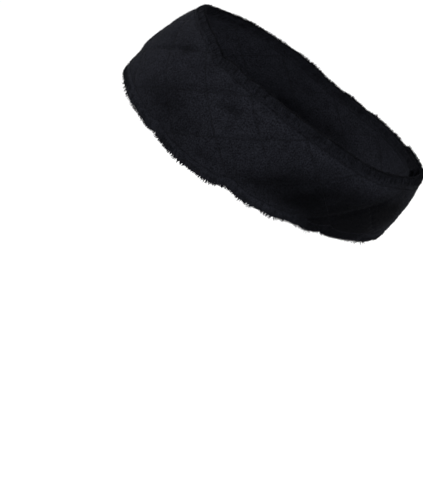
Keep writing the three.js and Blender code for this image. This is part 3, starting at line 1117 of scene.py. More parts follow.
QUILT_THREAD = Fibre(
    "quilting_thread", dark=(0.0032, 0.0034, 0.0044), light=(0.0098, 0.0103, 0.0130), scale=2600.0, bump=0.3,
    bump_height=0.0001, roughness=0.7, sheen_tint=(1.0, 1.0, 1.0), specular=0.03, tone_share=0.55,
)
TAPE = Fibre(
    "hook_tape", dark=(0.003, 0.003, 0.0034), light=(0.016, 0.016, 0.0175), scale=2200.0, clumps=0.25, bump=0.9,
    bump_height=0.0006, roughness=0.5, sheen=0.015, sheen_tint=(1.0, 1.0, 1.0), specular=0.25, tone_share=0.3,
)


# Meshes


def mesh_of(name: str, points: np.ndarray, faces: Iterable, edges: Iterable = ()) -> bpy.types.Mesh:
    """Mesh with smooth shading.

    Args:
        name: The mesh's name.
        points: Its points, in metres.
        faces: Point numbers of each face.
        edges: Point numbers of each edge that no face has.

    Returns:
        The mesh.
    """
    mesh = bpy.data.meshes.new(name)
    pairs = [list(map(int, pair)) for pair in edges]
    rings = [list(map(int, face)) for face in faces]
    mesh.from_pydata(np.asarray(points, float).tolist(), pairs, rings)
    mesh.update()
    mesh.polygons.foreach_set("use_smooth", [True] * len(mesh.polygons))
    return mesh


def set_attribute(mesh: bpy.types.Mesh, name: str, values: np.ndarray) -> None:
    """Stores an attribute on the points of a mesh.

    Args:
        mesh: The mesh.
        name: The attribute's name.
        values: A number or a vector for each point.
    """
    values = np.asarray(values, np.float32)
    kind, key = ("FLOAT_VECTOR", "vector") if values.ndim == 2 else ("FLOAT", "value")
    layer = mesh.attributes.new(name, kind, "POINT")
    layer.data.foreach_set(key, values.ravel())


def set_uv(mesh: bpy.types.Mesh, values: np.ndarray) -> None:
    """Stores a UV map.

    Args:
        mesh: The mesh.
        values: A pair of values for each of its points.
    """
    layer = mesh.uv_layers.new(name="cloth")
    index = np.empty(len(mesh.loops), np.int32)
    mesh.loops.foreach_get("vertex_index", index)
    layer.data.foreach_set("uv", np.asarray(values, np.float32)[index].ravel())


def tube_faces(columns: int, ring: int) -> np.ndarray:
    """Faces of a tube whose points are listed ring by ring.

    Args:
        columns: Number of rings.
        ring: Number of points in each.

    Returns:
        One row of four point numbers for each face.
    """
    here = np.arange(columns - 1)[:, None] * ring + np.arange(ring)[None, :]
    over = np.arange(columns - 1)[:, None] * ring + (np.arange(ring)[None, :] + 1) % ring
    return np.stack((here, over, over + ring, here + ring), axis=-1).reshape(-1, 4)


def strip_caps(columns: int, ring: int) -> list[tuple[int, ...]]:
    """Faces that close both ends of a flat tube, whose rings run up one side and down the other.

    Args:
        columns: Number of rings.
        ring: Number of points in each.

    Returns:
        Point numbers of each face.
    """
    last = ring - 1
    start = [(row, last - row, last - row - 1, row + 1) for row in range(ring // 2 - 1)]
    shift = (columns - 1) * ring
    return start + [tuple(shift + corner for corner in reversed(face)) for face in start]


def faces_out(points: np.ndarray, faces: list) -> list:
    """Turns the faces of a closed surface round if it is inside out.

    Args:
        points: The surface's points.
        faces: Point numbers of each face.

    Returns:
        The faces, with their fronts outwards.
    """
    volume = 0.0
    for face in faces:
        for second, third in zip(face[1:-1], face[2:]):
            volume += float(np.dot(points[face[0]], np.cross(points[second], points[third])))
    return [tuple(reversed(face)) for face in faces] if volume < 0 else faces


def both_ways(values: np.ndarray) -> np.ndarray:
    """Values of the outer face's rows, followed by the same ones turned round for the inner face."""
    return np.concatenate((values, values[:, ::-1]), axis=1)


def sheet_mesh(name: str, over: np.ndarray, under: np.ndarray) -> bpy.types.Mesh:
    """Closed mesh of a sheet.

    Args:
        name: The mesh's name.
        over: Points of its outer face, column by column.
        under: The points opposite them on its inner face.

    Returns:
        The mesh, whose rings run up the outer face and down the inner one.
    """
    points = np.concatenate((over, under[:, ::-1]), axis=1)
    columns, ring = points.shape[:2]
    flat = points.reshape(-1, 3)
    faces = [tuple(face) for face in tube_faces(columns, ring).tolist()] + strip_caps(columns, ring)
    return mesh_of(name, flat, faces_out(flat, faces))


def piece(name: str, mesh: bpy.types.Mesh, material: bpy.types.Material | None, slot: Slot) -> bpy.types.Object:
    """Object that rides on the band.

    Args:
        name: The piece's name.
        mesh: Its mesh.
        material: Its finish, or none where the mesh has it.
        slot: Not used.

    Returns:
        The object.
    """
    made = bpy.data.objects.new(name, mesh)
    bpy.context.scene.collection.objects.link(made)
    if material is not None:
        mesh.materials.clear()
        mesh.materials.append(material)
    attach(made, BODY)
    triangles = sum(len(polygon.vertices) - 2 for polygon in mesh.polygons)
    LOG.info("%s: %d triangles", name, triangles)
    return made


def grown(name: str, source: bpy.types.Mesh, tree: Tree, values: dict[str, object]) -> bpy.types.Mesh:
    """Plain mesh that a geometry tree grows from a source mesh.

    Args:
        name: Name of the new mesh.
        source: Mesh that the tree starts from.
        tree: The geometry tree.
        values: Name and value of each of its inputs.

    Returns:
        The grown mesh, with nothing live on it.
    """
    carrier = bpy.data.objects.new(name + "_carrier", source)
    modifier = carrier.modifiers.new("grow", "NODES")
    modifier.node_group = tree.tree
    for label, value in values.items():
        modifier[tree.identifier(label)] = value
    bpy.context.scene.collection.objects.link(carrier)
    depsgraph = bpy.context.evaluated_depsgraph_get()
    mesh = bpy.data.meshes.new_from_object(carrier.evaluated_get(depsgraph))
    mesh.name = name
    carrier.modifiers.clear()
    bpy.data.objects.remove(carrier)
    return mesh


def path_mesh(
    name: str, lines: list[np.ndarray], forward: list[np.ndarray], outward: list[np.ndarray], tone: np.ndarray
) -> bpy.types.Mesh:
    """Mesh of open lines that threads follow.

    Args:
        name: The mesh's name.
        lines: Points of each line.
        forward: The way along each line, at each point.
        outward: The way out of the cloth, at each point.
        tone: The thread's tone, at each point or for all of them.

    Returns:
        The mesh.
    """
    edges, start = [], 0
    for line in lines:
        edges += [(start + index, start + index + 1) for index in range(len(line) - 1)]
        start += len(line)
    mesh = mesh_of(name, np.concatenate(lines), [], edges)
    set_attribute(mesh, "forward", np.concatenate(forward))
    set_attribute(mesh, "outward", np.concatenate(outward))
    set_attribute(mesh, "tone", np.broadcast_to(tone, start))
    return mesh


# Sub-assemblies


@dataclass
class Workshop:
    """Materials and node trees that the sub-assemblies share."""

    materials: dict[str, bpy.types.Material]
    stitches: Tree
    wraps: Tree
    pile: Tree
    fringe: Tree

    @classmethod
    def open(cls) -> "Workshop":
        """Builds each material and each tree once.

        Returns:
            The workshop that holds them.
        """
        grain, seams = fibre_group(), groove_shade_group(Quilting(), UV_SPAN)
        finishes = (VELVET, PILE, ROLLED, THREAD, QUILT_THREAD, TAPE)
        materials = {finish.name: finish.material(grain, seams) for finish in finishes}
        return cls(materials, stitch_tree(), wrap_tree(), pile_tree(), fringe_tree())

    def threaded(
        self, name: str, path: bpy.types.Mesh, tree: Tree, seed: int, finish: Fibre = THREAD, **sizes: float
    ) -> bpy.types.Object:
        """Piece of thread or fibre ends along a path.

        Args:
            name: The piece's name.
            path: The path.
            tree: The geometry tree of the stitches, the wraps or the fringe.
            seed: Its seed.
            finish: Finish of the thread.
            sizes: The tree's own sizes.

        Returns:
            The object.
        """
        values = {"Seed": seed, "Material": self.materials[finish.name], **sizes}
        return piece(name, grown(name, path, tree, values), None, Slot.THREAD)

    def haired(self, name: str, source: bpy.types.Mesh, seed: int, **sizes: float) -> bpy.types.Object:
        """Piece of short hairs on a mesh."""
        values = {"Seed": seed, "Material": self.materials[PILE.name], **sizes}
        return piece(name, grown(name, source, self.pile, values), None, Slot.VELVET)


@dataclass
class QuiltedPad:
    """The quilted velvet pad, with its stitch lines and its pile."""

    form: BandForm
    shop: Workshop
    quilting: Quilting = field(default_factory=Quilting)
    columns: int = 560
    rows: int = 54
    hem_middle: float = 0.004
    swell_width: float = 0.001
    swell_power: float = 0.7
    groove_depth: float = 0.00075
    inner_groove_depth: float = 0.00025
    pucker_height: float = 0.00012
    pucker_spread: float = 0.0035
    pucker_wavelength: float = 0.0042
    unevenness: float = 0.0003
    warp: float = 0.0015
    warp_size: float = 0.02
    broad_size: float = 0.013
    fine_size: float = 0.005
    fine_share: float = 0.25
    pressed_pile: float = 0.7
    line_step: float = 0.001
    line_margin: float = 0.0006
    least_points: int = 4
    stitch_rise: float = 0.00008
    stitch_pitch: float = 0.0032
    stitch_length: float = 0.0024
    stitch_thickness: float = 0.0004
    seed: int = 11

    def grid(self) -> tuple[np.ndarray, np.ndarray]:
        """Places of the pad's points.

        Returns:
            Their angles and heights, one row of each array for each column of the cloth.
        """
        form = self.form
        insets = np.array([form.edge_inset, self.hem_middle, form.hem_width])
        insets = np.concatenate((insets, form.hem_width + self.swell_width * np.array([0.25, 0.5, 0.75])))
        outer = [form.inside_end(float(inset)) for inset in insets]
        inner = form.inside_end(form.hem_width + self.swell_width)
        even = np.linspace(-inner, inner, self.columns)
        angles = np.concatenate((-np.array(outer), even, np.array(outer)[::-1]))
        lower, upper = form.edges(angles)
        first = lower + form.hem_width + self.swell_width
        last = upper - form.hem_width - self.swell_width
        share = np.linspace(0.0, 1.0, self.rows)
        middle = first[:, None] + (last - first)[:, None] * share[None, :]
        heights = np.concatenate(
            (lower[:, None] + insets[None, :], middle, (upper[:, None] - insets[None, :])[:, ::-1]), axis=1
        )
        return np.broadcast_to(angles[:, None], heights.shape).copy(), heights

    def swell(self, angles: np.ndarray, heights: np.ndarray) -> np.ndarray:
        """How far the pad has swelled from its flat hem.

        Args:
            angles: Signed degrees round the loop.
            heights: Metres above the loop's plane.

        Returns:
            Shares from 0 on the hem to 1 where the pad has its full thickness.
        """
        form = self.form
        lower, upper = form.edges(angles)
        to_end = (form.end_angle - np.abs(angles)) / form.back_degrees(1.0)
        inside = np.minimum(np.minimum(heights - lower, upper - heights), to_end)
        share = np.clip((inside - form.hem_width) / self.swell_width, 0.0, 1.0)
        return np.sin(share * np.pi / 2.0) ** self.swell_power

    def relief(self, angles: np.ndarray, heights: np.ndarray) -> tuple[np.ndarray, np.ndarray]:
        """How far the pad's two faces lie from the cloth's middle.

        Args:
            angles: Signed degrees round the loop.
            heights: Metres above the loop's plane.

        Returns:
            Offsets of the outer and of the inner face.
        """
        form = self.form
        runs = form.length_along(angles)
        swell = self.swell(angles, heights)
        half = (form.hem_thickness + (form.pad_thickness - form.hem_thickness) * swell) / 2.0
        groove = self.quilting.groove(runs, heights)
        warp = ClothNoise(self.seed).at(runs, heights, self.warp_size) * self.warp
        pucker = self.quilting.pucker(runs + warp, heights, self.pucker_spread, self.pucker_wavelength)
        broad = ClothNoise(self.seed + 1).at(runs, heights, self.broad_size)
        fine = ClothNoise(self.seed + 2).at(runs, heights, self.fine_size)
        uneven = self.unevenness * ((1.0 - self.fine_share) * broad + self.fine_share * fine)
        outer = half + swell * (uneven + self.pucker_height * pucker - self.groove_depth * groove)
        inner = -half + swell * self.inner_groove_depth * groove
        return outer, inner

    def mesh(self) -> bpy.types.Mesh:
        """The closed pad.

        Returns:
            Its mesh, with the UV map in cloth lengths and with the attributes tone, pile and lay.
        """
        angles, heights = self.grid()
        outer, inner = self.relief(angles, heights)
        runs = self.form.length_along(angles)
        over, under = (self.form.place(angles, heights, offset) for offset in (outer, inner))
        mesh = sheet_mesh("velvet_pad", over, under)
        across = np.concatenate((heights, (heights + UV_SPAN)[:, ::-1]), axis=1)
        set_uv(mesh, np.stack((both_ways(runs), across), axis=-1).reshape(-1, 2) / UV_SPAN)
        # tone: random blotches of the pile, with painted sheen and painted shade
        set_attribute(mesh, "tone", both_ways(blotches_and_painted_light(runs, heights)).ravel())
        line = np.exp(-((self.quilting.distance(runs, heights) / self.quilting.line_reach) ** 2))
        lower, upper = self.form.edges(angles)
        clear = (heights - lower > self.form.hem_width) & (upper - heights > self.form.hem_width)
        set_attribute(mesh, "pile", both_ways(clear * (1.0 - self.pressed_pile * line)).ravel())
        set_attribute(mesh, "lay", -both_ways(self.form.frames(angles, heights)["up"]).reshape(-1, 3))
        return mesh

    def stitch_lines(self) -> bpy.types.Mesh:
        """Stitch lines on both faces of the pad, just above the grooves.

        Returns:
            The mesh of the lines.
        """
        form = self.form
        limit = form.inside_end(form.hem_width + 2 * self.swell_width)
        span = float(form.length_along(limit))
        lines, forward, outward, tones = [], [], [], []
        margin = form.hem_width + self.line_margin
        for runs, rises in self.quilting.lines(-span, span, self.line_step, form.width):
            lower, upper = form.edges(form.angle_along(runs))
            kept = (np.abs(runs) < span) & (rises > lower + margin) & (rises < upper - margin)
            if kept.sum() < self.least_points:
                continue
            angle, rise = form.angle_along(runs[kept]), rises[kept]
            faces = self.relief(angle, rise)
            for offset, side in ((faces[0] + self.stitch_rise, 1.0), (faces[1] - self.stitch_rise, -1.0)):
                line = form.place(angle, rise, offset)
                way = np.gradient(line, axis=0)
                lines.append(line)
                forward.append(way / np.linalg.norm(way, axis=1, keepdims=True))
                outward.append(side * form.frames(angle, rise)["outward"])
                # the stitches take the tone of the pile beneath them, with its painted sheen and shade
                tones.append(blotches_and_painted_light(runs[kept], rise))
        return path_mesh("stitch_lines", lines, forward, outward, np.concatenate(tones))

    def build(self) -> None:
        mesh = self.mesh()
        hairs = self.shop.haired(
            "velvet_pile", mesh.copy(), 5, Density=0.55e6, Length=0.0009, Thickness=0.00014, Lean=0.9, Tangle=0.45
        )
        pad = piece("velvet_pad", mesh, self.shop.materials[VELVET.name], Slot.VELVET)
        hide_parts("quilted_band")
        stitches = self.shop.threaded(
            "quilt_stitches", self.stitch_lines(), self.shop.stitches, 3, QUILT_THREAD,
            Pitch=self.stitch_pitch, Length=self.stitch_length, Thickness=self.stitch_thickness, Wobble=0.00005,
        )
        LOG.info("pad of %d x %d, with %s and %s", self.columns, self.rows, hairs.name, stitches.name)


@dataclass
class Overlock:
    """An overlocked border: the rolled cloth edge, the threads wrapped round it and its lines of stitches."""

    form: BandForm
    shop: Workshop
    name: str
    node: str
    angles: np.ndarray
    heights: np.ndarray
    inward: np.ndarray
    length: float
    tone: float
    seed: int
    pad: QuiltedPad
    needle_tone: float
    fringe_length: float
    slimness: float = 0.00022
    tuck: float = 0.00012
    lip: float = 0.0009
    inset: float = 0.00055
    inner_wall: float = 0.00015
    rounding: float = 0.0009
    flat_width: float = 0.0138
    wrap_depth: float = 0.0052
    wrap_lead: float = 0.00015
    wrap_lift: float = 0.00014
    wrap_pitch: float = 0.00135
    wrap_thickness: float = 0.0003
    chain_depth: float = 0.0003
    chain_thickness: float = 0.0007
    fringe_depth: float = 0.0006
    fringe_pitch: float = 0.0009
    fringe_thickness: float = 0.00062
    fringe_spread: float = 0.0006
    needle_depth: float = 0.0068
    needle_lift: float = 0.00015
    side_points: int = 9
    edge_points: int = 5
    rib_height: float = 0.00014
    unevenness: float = 0.00012
    edge_nudge: float = 0.0003
    uneven_size: float = 0.004
    side_fuzz: float = 0.45
    step: float = BORDER_STEP

    @property
    def half(self) -> float:
        """Half the thickness of the rolled edge."""
        return self.form.border_thickness / 2.0 - self.slimness

    def section(self) -> list[tuple[float, float, float]]:
        """Section of the folded strip.

        Returns:
            For each point its depth inside the edge, its offset from the cloth's middle, and its sink, which is
            the share of the way down to the pad's face.
        """
        form = self.form
        half, width, slot = self.half, form.border_width, form.slot_half
        wall = form.border_wall + self.inner_wall
        reach, turn_in, level = width + self.lip, self.inset + self.rounding, half - self.rounding
        round_edge = [
            (turn_in - self.rounding * math.sin(turn), level + self.rounding * math.cos(turn), 0.0)
            for turn in np.linspace(0.0, math.pi / 2.0, self.edge_points)
        ]
        side = [
            (reach + (turn_in - reach) * share, half, (1.0 - share) ** 2)
            for share in np.linspace(0.0, 1.0, self.side_points)[:-1]
        ]
        front = side + round_edge
        back = [(depth, -offset, sink) for depth, offset, sink in reversed(front)]
        cavity = [(width, -slot, 0.0), (wall, -slot, 0.0), (wall, slot, 0.0), (width, slot, 0.0)]
        return front + back + cavity

    def pad_faces(self, depth: float) -> tuple[np.ndarray, np.ndarray]:
        """Offsets of the pad's outer and inner face from the cloth's middle at a depth inside the edge."""
        angles = self.angles + self.inward[:, 0] * self.form.back_degrees(depth)
        return self.pad.relief(angles, self.heights + self.inward[:, 1] * depth)

    def place(self, depth: float, offset: np.ndarray) -> np.ndarray:
        """Points at a depth inside the edge and offsets from the cloth's middle."""
        angles = self.angles + self.inward[:, 0] * self.form.back_degrees(depth)
        return self.form.place(angles, self.heights + self.inward[:, 1] * depth, offset)

    def mesh(self) -> bpy.types.Mesh:
        """The folded strip, with soft ribs where the threads press it in.

        Returns:
            Its mesh, with the attributes tone, pile and lay.
        """
        form, section = self.form, self.section()
        runs = np.arange(len(self.angles)) * self.step
        rib = np.abs(np.sin(np.pi * runs / self.wrap_pitch)) - 0.5
        uneven = ClothNoise(self.seed).at(runs, np.zeros_like(runs), self.uneven_size)
        outer_face, inner_face = self.pad_faces(form.border_width + self.lip)
        front_drop, back_drop = self.half - outer_face + self.tuck, self.half + inner_face + self.tuck
        outer = np.array([abs(offset) > form.slot_half + TOLERANCE for _, offset, _ in section])
        rows = []
        for (depth, offset, sink), outside in zip(section, outer):
            drop = front_drop if offset > 0 else back_drop
            shift = (self.rib_height * rib + self.unevenness * uneven) * (1.0 - sink) - sink * drop
            shift = shift * np.sign(offset) * outside
            nudge = self.edge_nudge * uneven if depth < self.inset + self.rounding and outside else 0.0
            rows.append(self.place(depth, offset + shift) - np.asarray(nudge)[..., None] * self.inward_way())
        points = np.stack(rows, axis=1)
        columns, ring = points.shape[:2]
        flat = points.reshape(-1, 3)
        faces = [tuple(face) for face in tube_faces(columns, ring).tolist()]
        faces += self.end_caps(columns, ring, ring - SLOT_POINTS)
        mesh = mesh_of(self.name, flat, faces_out(flat, faces))
        depths = np.array([depth for depth, _, _ in section])
        turns = self.angles[:, None] + self.inward[:, :1] * form.back_degrees(1.0) * depths[None, :]
        places = self.heights[:, None] + self.inward[:, 1:] * depths[None, :]
        # tone: the border's own tone, with the random blotches and the painted sheen and shade of the pile
        set_attribute(mesh, "tone", (self.tone + blotches_and_painted_light(form.length_along(turns), places)).ravel())
        fuzz = outer * np.where(depths < 2.0 * self.rounding, 1.0, self.side_fuzz)
        set_attribute(mesh, "pile", np.tile(fuzz, columns))
        set_attribute(mesh, "lay", np.repeat(-self.inward_way(), ring, axis=0))
        return mesh

    @staticmethod
    def end_caps(columns: int, ring: int, outside: int) -> list[tuple[int, ...]]:
        """Faces that close the two ends of the folded strip, split so that none crosses the slot.

        Args:
            columns: Number of rings of the strip.
            ring: Number of points in each.
            outside: How many of those lie on the outside, before the four of the slot.

        Returns:
            Point numbers of each face.
        """
        half = outside // 2
        low, deep_low, deep_high, high = outside, outside + 1, outside + 2, outside + 3
        front = list(range(half)) + [deep_high, high]
        back = list(range(half, outside)) + [low, deep_low]
        bridge = (half - 1, half, deep_low, deep_high)
        start = [tuple(front), tuple(back), bridge]
        shift = (columns - 1) * ring
        closed = [tuple(reversed(face)) for face in start]
        return closed + [tuple(shift + corner for corner in face) for face in start]

    def inward_way(self) -> np.ndarray:
        """Unit direction from the edge into the cloth, at each column."""
        way = self.place(0.001, np.zeros(len(self.angles))) - self.place(0.0, np.zeros(len(self.angles)))
        return way / np.linalg.norm(way, axis=1, keepdims=True)

    def path(self, depth: float, offsets: tuple[np.ndarray, ...], tone: float) -> bpy.types.Mesh:
        """Paths along the border.

        Args:
            depth: Metres inside the edge.
            offsets: Metres from the cloth's middle, for each path.
            tone: Tone of the threads that follow them.

        Returns:
            The mesh of the paths.
        """
        lines = [self.place(depth, np.broadcast_to(offset, len(self.angles))) for offset in offsets]
        ways = [np.gradient(line, axis=0) for line in lines]
        ways = [way / np.linalg.norm(way, axis=1, keepdims=True) for way in ways]
        outward = [np.cross(way, self.inward_way()) for way in ways]
        return path_mesh(self.name + "_path", lines, ways, outward, np.array(tone))

    def build(self) -> None:
        shop, mesh = self.shop, self.mesh()
        fuzz = shop.haired(
            self.name + "_fuzz", mesh.copy(), self.seed, Density=1.1e6, Length=0.0013, Thickness=0.00018, Lean=0.5,
            Tangle=0.9,
        )
        strip = piece(self.name, mesh, shop.materials[ROLLED.name], Slot.THREAD)
        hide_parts(self.node)
        wraps = shop.threaded(
            self.name + "_wraps", self.path(-self.wrap_lead, (0.0,), self.tone), shop.wraps, self.seed + 1,
            Pitch=self.wrap_pitch, Depth=self.wrap_depth, Height=2.0 * self.half + self.wrap_lift,
            Thickness=self.wrap_thickness, Corner=0.0013, Slant=0.16, Wobble=0.00026,
        )
        chain = shop.threaded(
            self.name + "_chain", self.path(self.chain_depth, (0.0,), self.tone), shop.stitches, self.seed + 2,
            Pitch=0.0012, Length=0.001, Thickness=self.chain_thickness, Wobble=0.0004,
        )
        fringe_offsets = (-self.fringe_spread, 0.0, self.fringe_spread)
        fringe_path = self.path(self.fringe_depth, fringe_offsets, self.tone)
        fringe = shop.threaded(
            self.name + "_fringe", fringe_path, shop.fringe, self.seed + 4, Pitch=self.fringe_pitch,
            Length=self.fringe_length, Thickness=self.fringe_thickness, Wobble=0.0003,
        )
        needle_offset = self.pad_faces(self.needle_depth)[0] + self.needle_lift
        needle_path = self.path(self.needle_depth, (needle_offset,), self.needle_tone)
        needle = shop.threaded(
            self.name + "_needle_line", needle_path, shop.stitches, self.seed + 3, Pitch=0.0027, Length=0.0025,
            Thickness=0.0005, Wobble=0.00008,
        )


def long_border(
    pad: QuiltedPad, edge: Edge, tone: float, needle_tone: float, fringe_length: float, seed: int
) -> Overlock:
    """Overlocked border along one of the long edges.

    Args:
        pad: The pad that it binds.
        edge: The upper or the lower edge.
        tone: Tone of its cloth and thread.
        needle_tone: Tone of its line of needle stitches, partly the thread's own lighter tone and partly painted
            light over the shade of the crease beneath it.
        fringe_length: Length of the fibre ends along it.
        seed: Seed of all that is random on it.

    Returns:
        The border, not yet built.
    """
    form = pad.form
    span = float(form.length_along(form.end_angle))
    count = int(2.0 * span / BORDER_STEP)
    angles = form.angle_along(np.linspace(-span, span, count)) * edge.value
    lower, upper = form.edges(angles)
    heights = upper if edge is Edge.UPPER else lower
    inward = np.tile((0.0, float(edge.value)), (count, 1))
    line = form.place(angles, heights, 0.0)
    length = float(np.linalg.norm(np.diff(line, axis=0), axis=1).sum())
    name = edge.name.lower()
    return Overlock(
        form, pad.shop, name=f"{name}_overlock", node=f"{name}_border", angles=angles, heights=heights,
        inward=inward, length=length, tone=tone, seed=seed, pad=pad, needle_tone=needle_tone,
        fringe_length=fringe_length, step=2.0 * span / count,
    )


def end_border(pad: QuiltedPad, end: End, tone: float, seed: int) -> Overlock:
    """Overlocked border across one end of the band, between the two long ones.

    Args:
        pad: The pad that it binds.
        end: The outer or the inner end.
        tone: Tone of its cloth and thread.
        seed: Seed of all that is random on it.

    Returns:
        The border, not yet built.
    """
    form = pad.form
    angle = form.end_angle * end.value
    lower, upper = form.edges(np.array([angle]))
    first, last = float(lower[0]) + form.hem_width, float(upper[0]) - form.hem_width
    count = int((last - first) / BORDER_STEP)
    heights = np.linspace(first, last, count)[:: end.value]
    inward = np.tile((-float(end.value), 0.0), (count, 1))
    name = end.name.lower()
    return Overlock(
        form, pad.shop, name=f"{name}_end_overlock", node=f"{name}_end_border", angles=np.full(count, angle),
        heights=heights, inward=inward, length=last - first, tone=tone, seed=seed, pad=pad, needle_tone=tone,
        fringe_length=END_FRINGE, step=(last - first) / count,
    )


@dataclass
class LooseLoops:
    """Loops of overlock thread that have worked loose from the upper edge."""

    form: BandForm
    shop: Workshop
    angles: tuple[float, ...] = (44.0, 46.5, 61.0, 97.0, 131.0, -38.0, -81.0, -126.0)
    reach: float = 0.0016
    root: float = 0.0006
    sway: float = 0.0005
    span: float = 0.0022
    slant: float = 0.35
    slant_change: float = 2.4
    variety: float = 0.25
    variety_change: float = 1.7
    thickness: float = 0.0003
    sides: int = 6
    steps: int = 14

    def build(self) -> None:
        """Builds the loops as one piece."""
        points, faces = [], []
        for index, angle in enumerate(self.angles):
            _, upper = self.form.edges(np.array([angle]))
            base = self.form.place(np.array([angle]), upper, 0.0)[0]
            ways = {name: way[0] for name, way in self.form.frames(np.array([angle]), upper).items()}
            lean = self.slant * math.sin(self.slant_change * index)
            size = 1.0 - self.variety + self.variety * math.cos(self.variety_change * index)
            line = np.array([
                base
                + ways["along"] * (self.span * size * (0.5 * math.cos(turn) + lean * math.sin(turn)))
                + ways["up"] * (self.reach * size * math.sin(turn) - self.root)
                + ways["outward"] * (self.sway * math.sin(2.0 * turn + index))
                for turn in np.linspace(0.0, math.pi, self.steps)
            ])
            start = len(points)
            for place, tangent in zip(line, np.gradient(line, axis=0)):
                tangent = tangent / np.linalg.norm(tangent)
                first = np.cross(tangent, ways["outward"])
                first = first / np.linalg.norm(first)
                second = np.cross(tangent, first)
                for side in range(self.sides):
                    turn = 2.0 * math.pi * side / self.sides
                    spoke = math.cos(turn) * first + math.sin(turn) * second
                    points.append(place + self.thickness / 2.0 * spoke)
            faces += [tuple(face) for face in (start + tube_faces(self.steps, self.sides)).tolist()]
            last = start + (self.steps - 1) * self.sides
            faces.append(tuple(range(start + self.sides - 1, start - 1, -1)))
            faces.append(tuple(range(last, last + self.sides)))
        array = np.array(points)
        mesh = mesh_of("loose_loops", array, faces_out(array, faces))
        piece("loose_loops", mesh, self.shop.materials[THREAD.name], Slot.THREAD)


@dataclass
class HookFastener:
    """The hook-and-loop fastener, pressed together between the two lapped ends."""

    form: BandForm
    shop: Workshop
    margin: float = 0.0028
    edge_drop: float = 0.2
    columns: int = 60
    rows: int = 44

    def build(self) -> None:
        form = self.form
        border = form.hem_width + self.margin
        reach = form.back_degrees(form.lap_length / 2.0 - border)
        angles = HALF_TURN + np.linspace(-reach, reach, self.columns)
        outer, inner = form.edges(angles), form.edges(angles - FULL_TURN)
        lowest = np.maximum(outer[0], inner[0]) + border
        highest = np.minimum(outer[1], inner[1]) - border
        share = np.linspace(0.0, 1.0, self.rows)
        heights = lowest[:, None] + (highest - lowest)[:, None] * share[None, :]
        angles = np.broadcast_to(angles[:, None], heights.shape)
        seat = form.pad_thickness / 2.0 + form.fit_gap
        under = form.middle(angles - FULL_TURN, heights) + seat - form.middle(angles, heights)
        rim = np.ones(heights.shape)
        rim[1:-1, 1:-1] = 0.0
        drop = rim * self.edge_drop * (-seat - under)
        over = form.place(angles, heights, -seat - drop)
        below = form.place(angles, heights, under + drop)
        tape = piece("hook_tape", sheet_mesh("hook_tape", over, below), self.shop.materials[TAPE.name], Slot.TAPE)
        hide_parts("hook_fastener")


# Studio


@dataclass(frozen=True)
class Light:
    """A soft square light, placed in the camera's own directions from the head's centre."""

    name: str
    right: float
    up: float
    back: float
    size: float
    power: float
    colour: tuple[float, float, float]


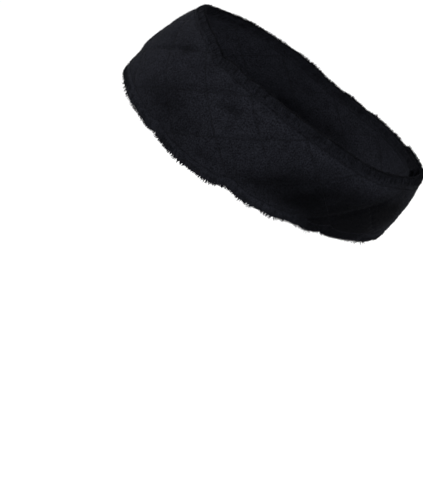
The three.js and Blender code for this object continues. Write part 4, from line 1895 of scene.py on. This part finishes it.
@dataclass
class Studio:
    """Pale floor, soft light and the camera."""

    azimuth: float = 84.0
    elevation: float = 22.0
    distance: float = 1.2
    focal_pixels: float = 1989.6
    picture: tuple[int, int] = (423, 488)
    centre: tuple[float, float] = (270.8, 126.4)
    sensor: float = 36.0
    floor_drop: float = 0.30
    floor_size: float = 9.0
    world_strength: float = 0.8
    lights: tuple[Light, ...] = (
        Light("key", -0.9, 1.3, 1.0, 0.9, 16.0, (1.0, 0.98, 0.96)),
        Light("fill", 1.2, 0.2, 1.0, 1.2, 4.0, (0.92, 0.96, 1.0)),
        Light("top", 0.1, 1.6, -0.2, 1.0, 9.0, (1.0, 1.0, 1.0)),
    )

    def axes(self) -> tuple[Vector, Vector, Vector]:
        """Directions of the camera before it turns to frame the band.

        Returns:
            The camera's right, up and back.
        """
        turn, rise = math.radians(self.azimuth), math.radians(self.elevation)
        back = Vector((math.sin(turn) * math.cos(rise), -math.cos(turn) * math.cos(rise), math.sin(rise)))
        right = Vector((math.cos(turn), math.sin(turn), 0.0))
        return right, back.cross(right), back

    def camera(self) -> None:
        """Places the camera so that the head's centre falls on its place in the picture."""
        right, up, back = self.axes()
        level = Matrix((right, up, back)).transposed()
        width, height = self.picture
        across = (self.centre[0] - width / 2.0) / self.focal_pixels
        above = (height / 2.0 - self.centre[1]) / self.focal_pixels
        sight = (level @ Vector((across, above, -1.0))).normalized()
        turn = sight.rotation_difference(-back)
        lens = bpy.data.cameras.new("camera")
        lens.sensor_width = self.sensor
        lens.lens = self.focal_pixels * self.sensor / max(width, height)
        lens.clip_start, lens.clip_end = 0.05, 30.0
        camera = bpy.data.objects.new("camera", lens)
        camera.rotation_mode = "QUATERNION"
        camera.location = back * self.distance
        camera.rotation_quaternion = turn @ level.to_quaternion()
        bpy.context.scene.collection.objects.link(camera)
        bpy.context.scene.camera = camera

    def floor(self) -> None:
        """Lays the plain pale floor."""
        half, drop = self.floor_size / 2.0, -self.floor_drop
        corners = np.array([(-half, -half, drop), (half, -half, drop), (half, half, drop), (-half, half, drop)])
        mesh = mesh_of("floor", corners, [(0, 1, 2, 3)])
        made = bpy.data.materials.new("pale_floor")
        made.use_nodes = True
        made.node_tree.nodes.clear()
        tree = Tree(made.node_tree)
        mottle = tree.add("ShaderNodeTexNoise", {"Scale": 6.0, "Detail": 2.0}).outputs[0]
        colour = tree.mix(mottle, (0.86, 0.86, 0.865, 1.0), (0.9, 0.9, 0.905, 1.0))
        shader = tree.add("ShaderNodeBsdfPrincipled", {"Base Color": colour, "Roughness": 0.9})
        tree.add("ShaderNodeOutputMaterial", {"Surface": shader.outputs[0]})
        mesh.materials.append(made)
        floor = bpy.data.objects.new("floor", mesh)
        bpy.context.scene.collection.objects.link(floor)

    def light(self) -> None:
        """Sets up the soft lights and the pale surroundings."""
        right, up, back = self.axes()
        for spot in self.lights:
            data = bpy.data.lights.new(spot.name, "AREA")
            data.size, data.energy, data.color = spot.size, spot.power, spot.colour
            lamp = bpy.data.objects.new(spot.name, data)
            lamp.location = right * spot.right + up * spot.up + back * spot.back
            lamp.rotation_mode = "QUATERNION"
            lamp.rotation_quaternion = lamp.location.to_track_quat("Z", "Y")
            bpy.context.scene.collection.objects.link(lamp)
        world = bpy.data.worlds.new("surroundings")
        world.use_nodes = True
        shade = world.node_tree.nodes["Background"]
        shade.inputs["Color"].default_value = (1.0, 1.0, 1.0, 1.0)
        shade.inputs["Strength"].default_value = self.world_strength
        bpy.context.scene.world = world
        bpy.context.scene.view_settings.view_transform = "Standard"

    def build(self) -> None:
        """Sets up the whole studio."""
        self.camera()
        self.floor()
        self.light()


def main() -> None:
    """Builds the band piece by piece and the studio round it."""
    Studio().build()
    form = BandForm()
    shop = Workshop.open()
    pad = QuiltedPad(form, shop)
    pad.build()
    # the long borders' light needle lines are partly the thread's own tone and partly painted light that fills the
    # shade of the crease where the strip meets the pad
    long_border(pad, Edge.UPPER, tone=-0.2, needle_tone=1.2, fringe_length=0.0018, seed=21).build()
    long_border(pad, Edge.LOWER, tone=0.14, needle_tone=0.9, fringe_length=0.0024, seed=31).build()
    end_border(pad, End.OUTER, tone=-0.1, seed=41).build()
    end_border(pad, End.INNER, tone=-0.1, seed=51).build()
    LooseLoops(form, shop).build()
    HookFastener(form, shop).build()


if __name__ == "__main__":
    main()
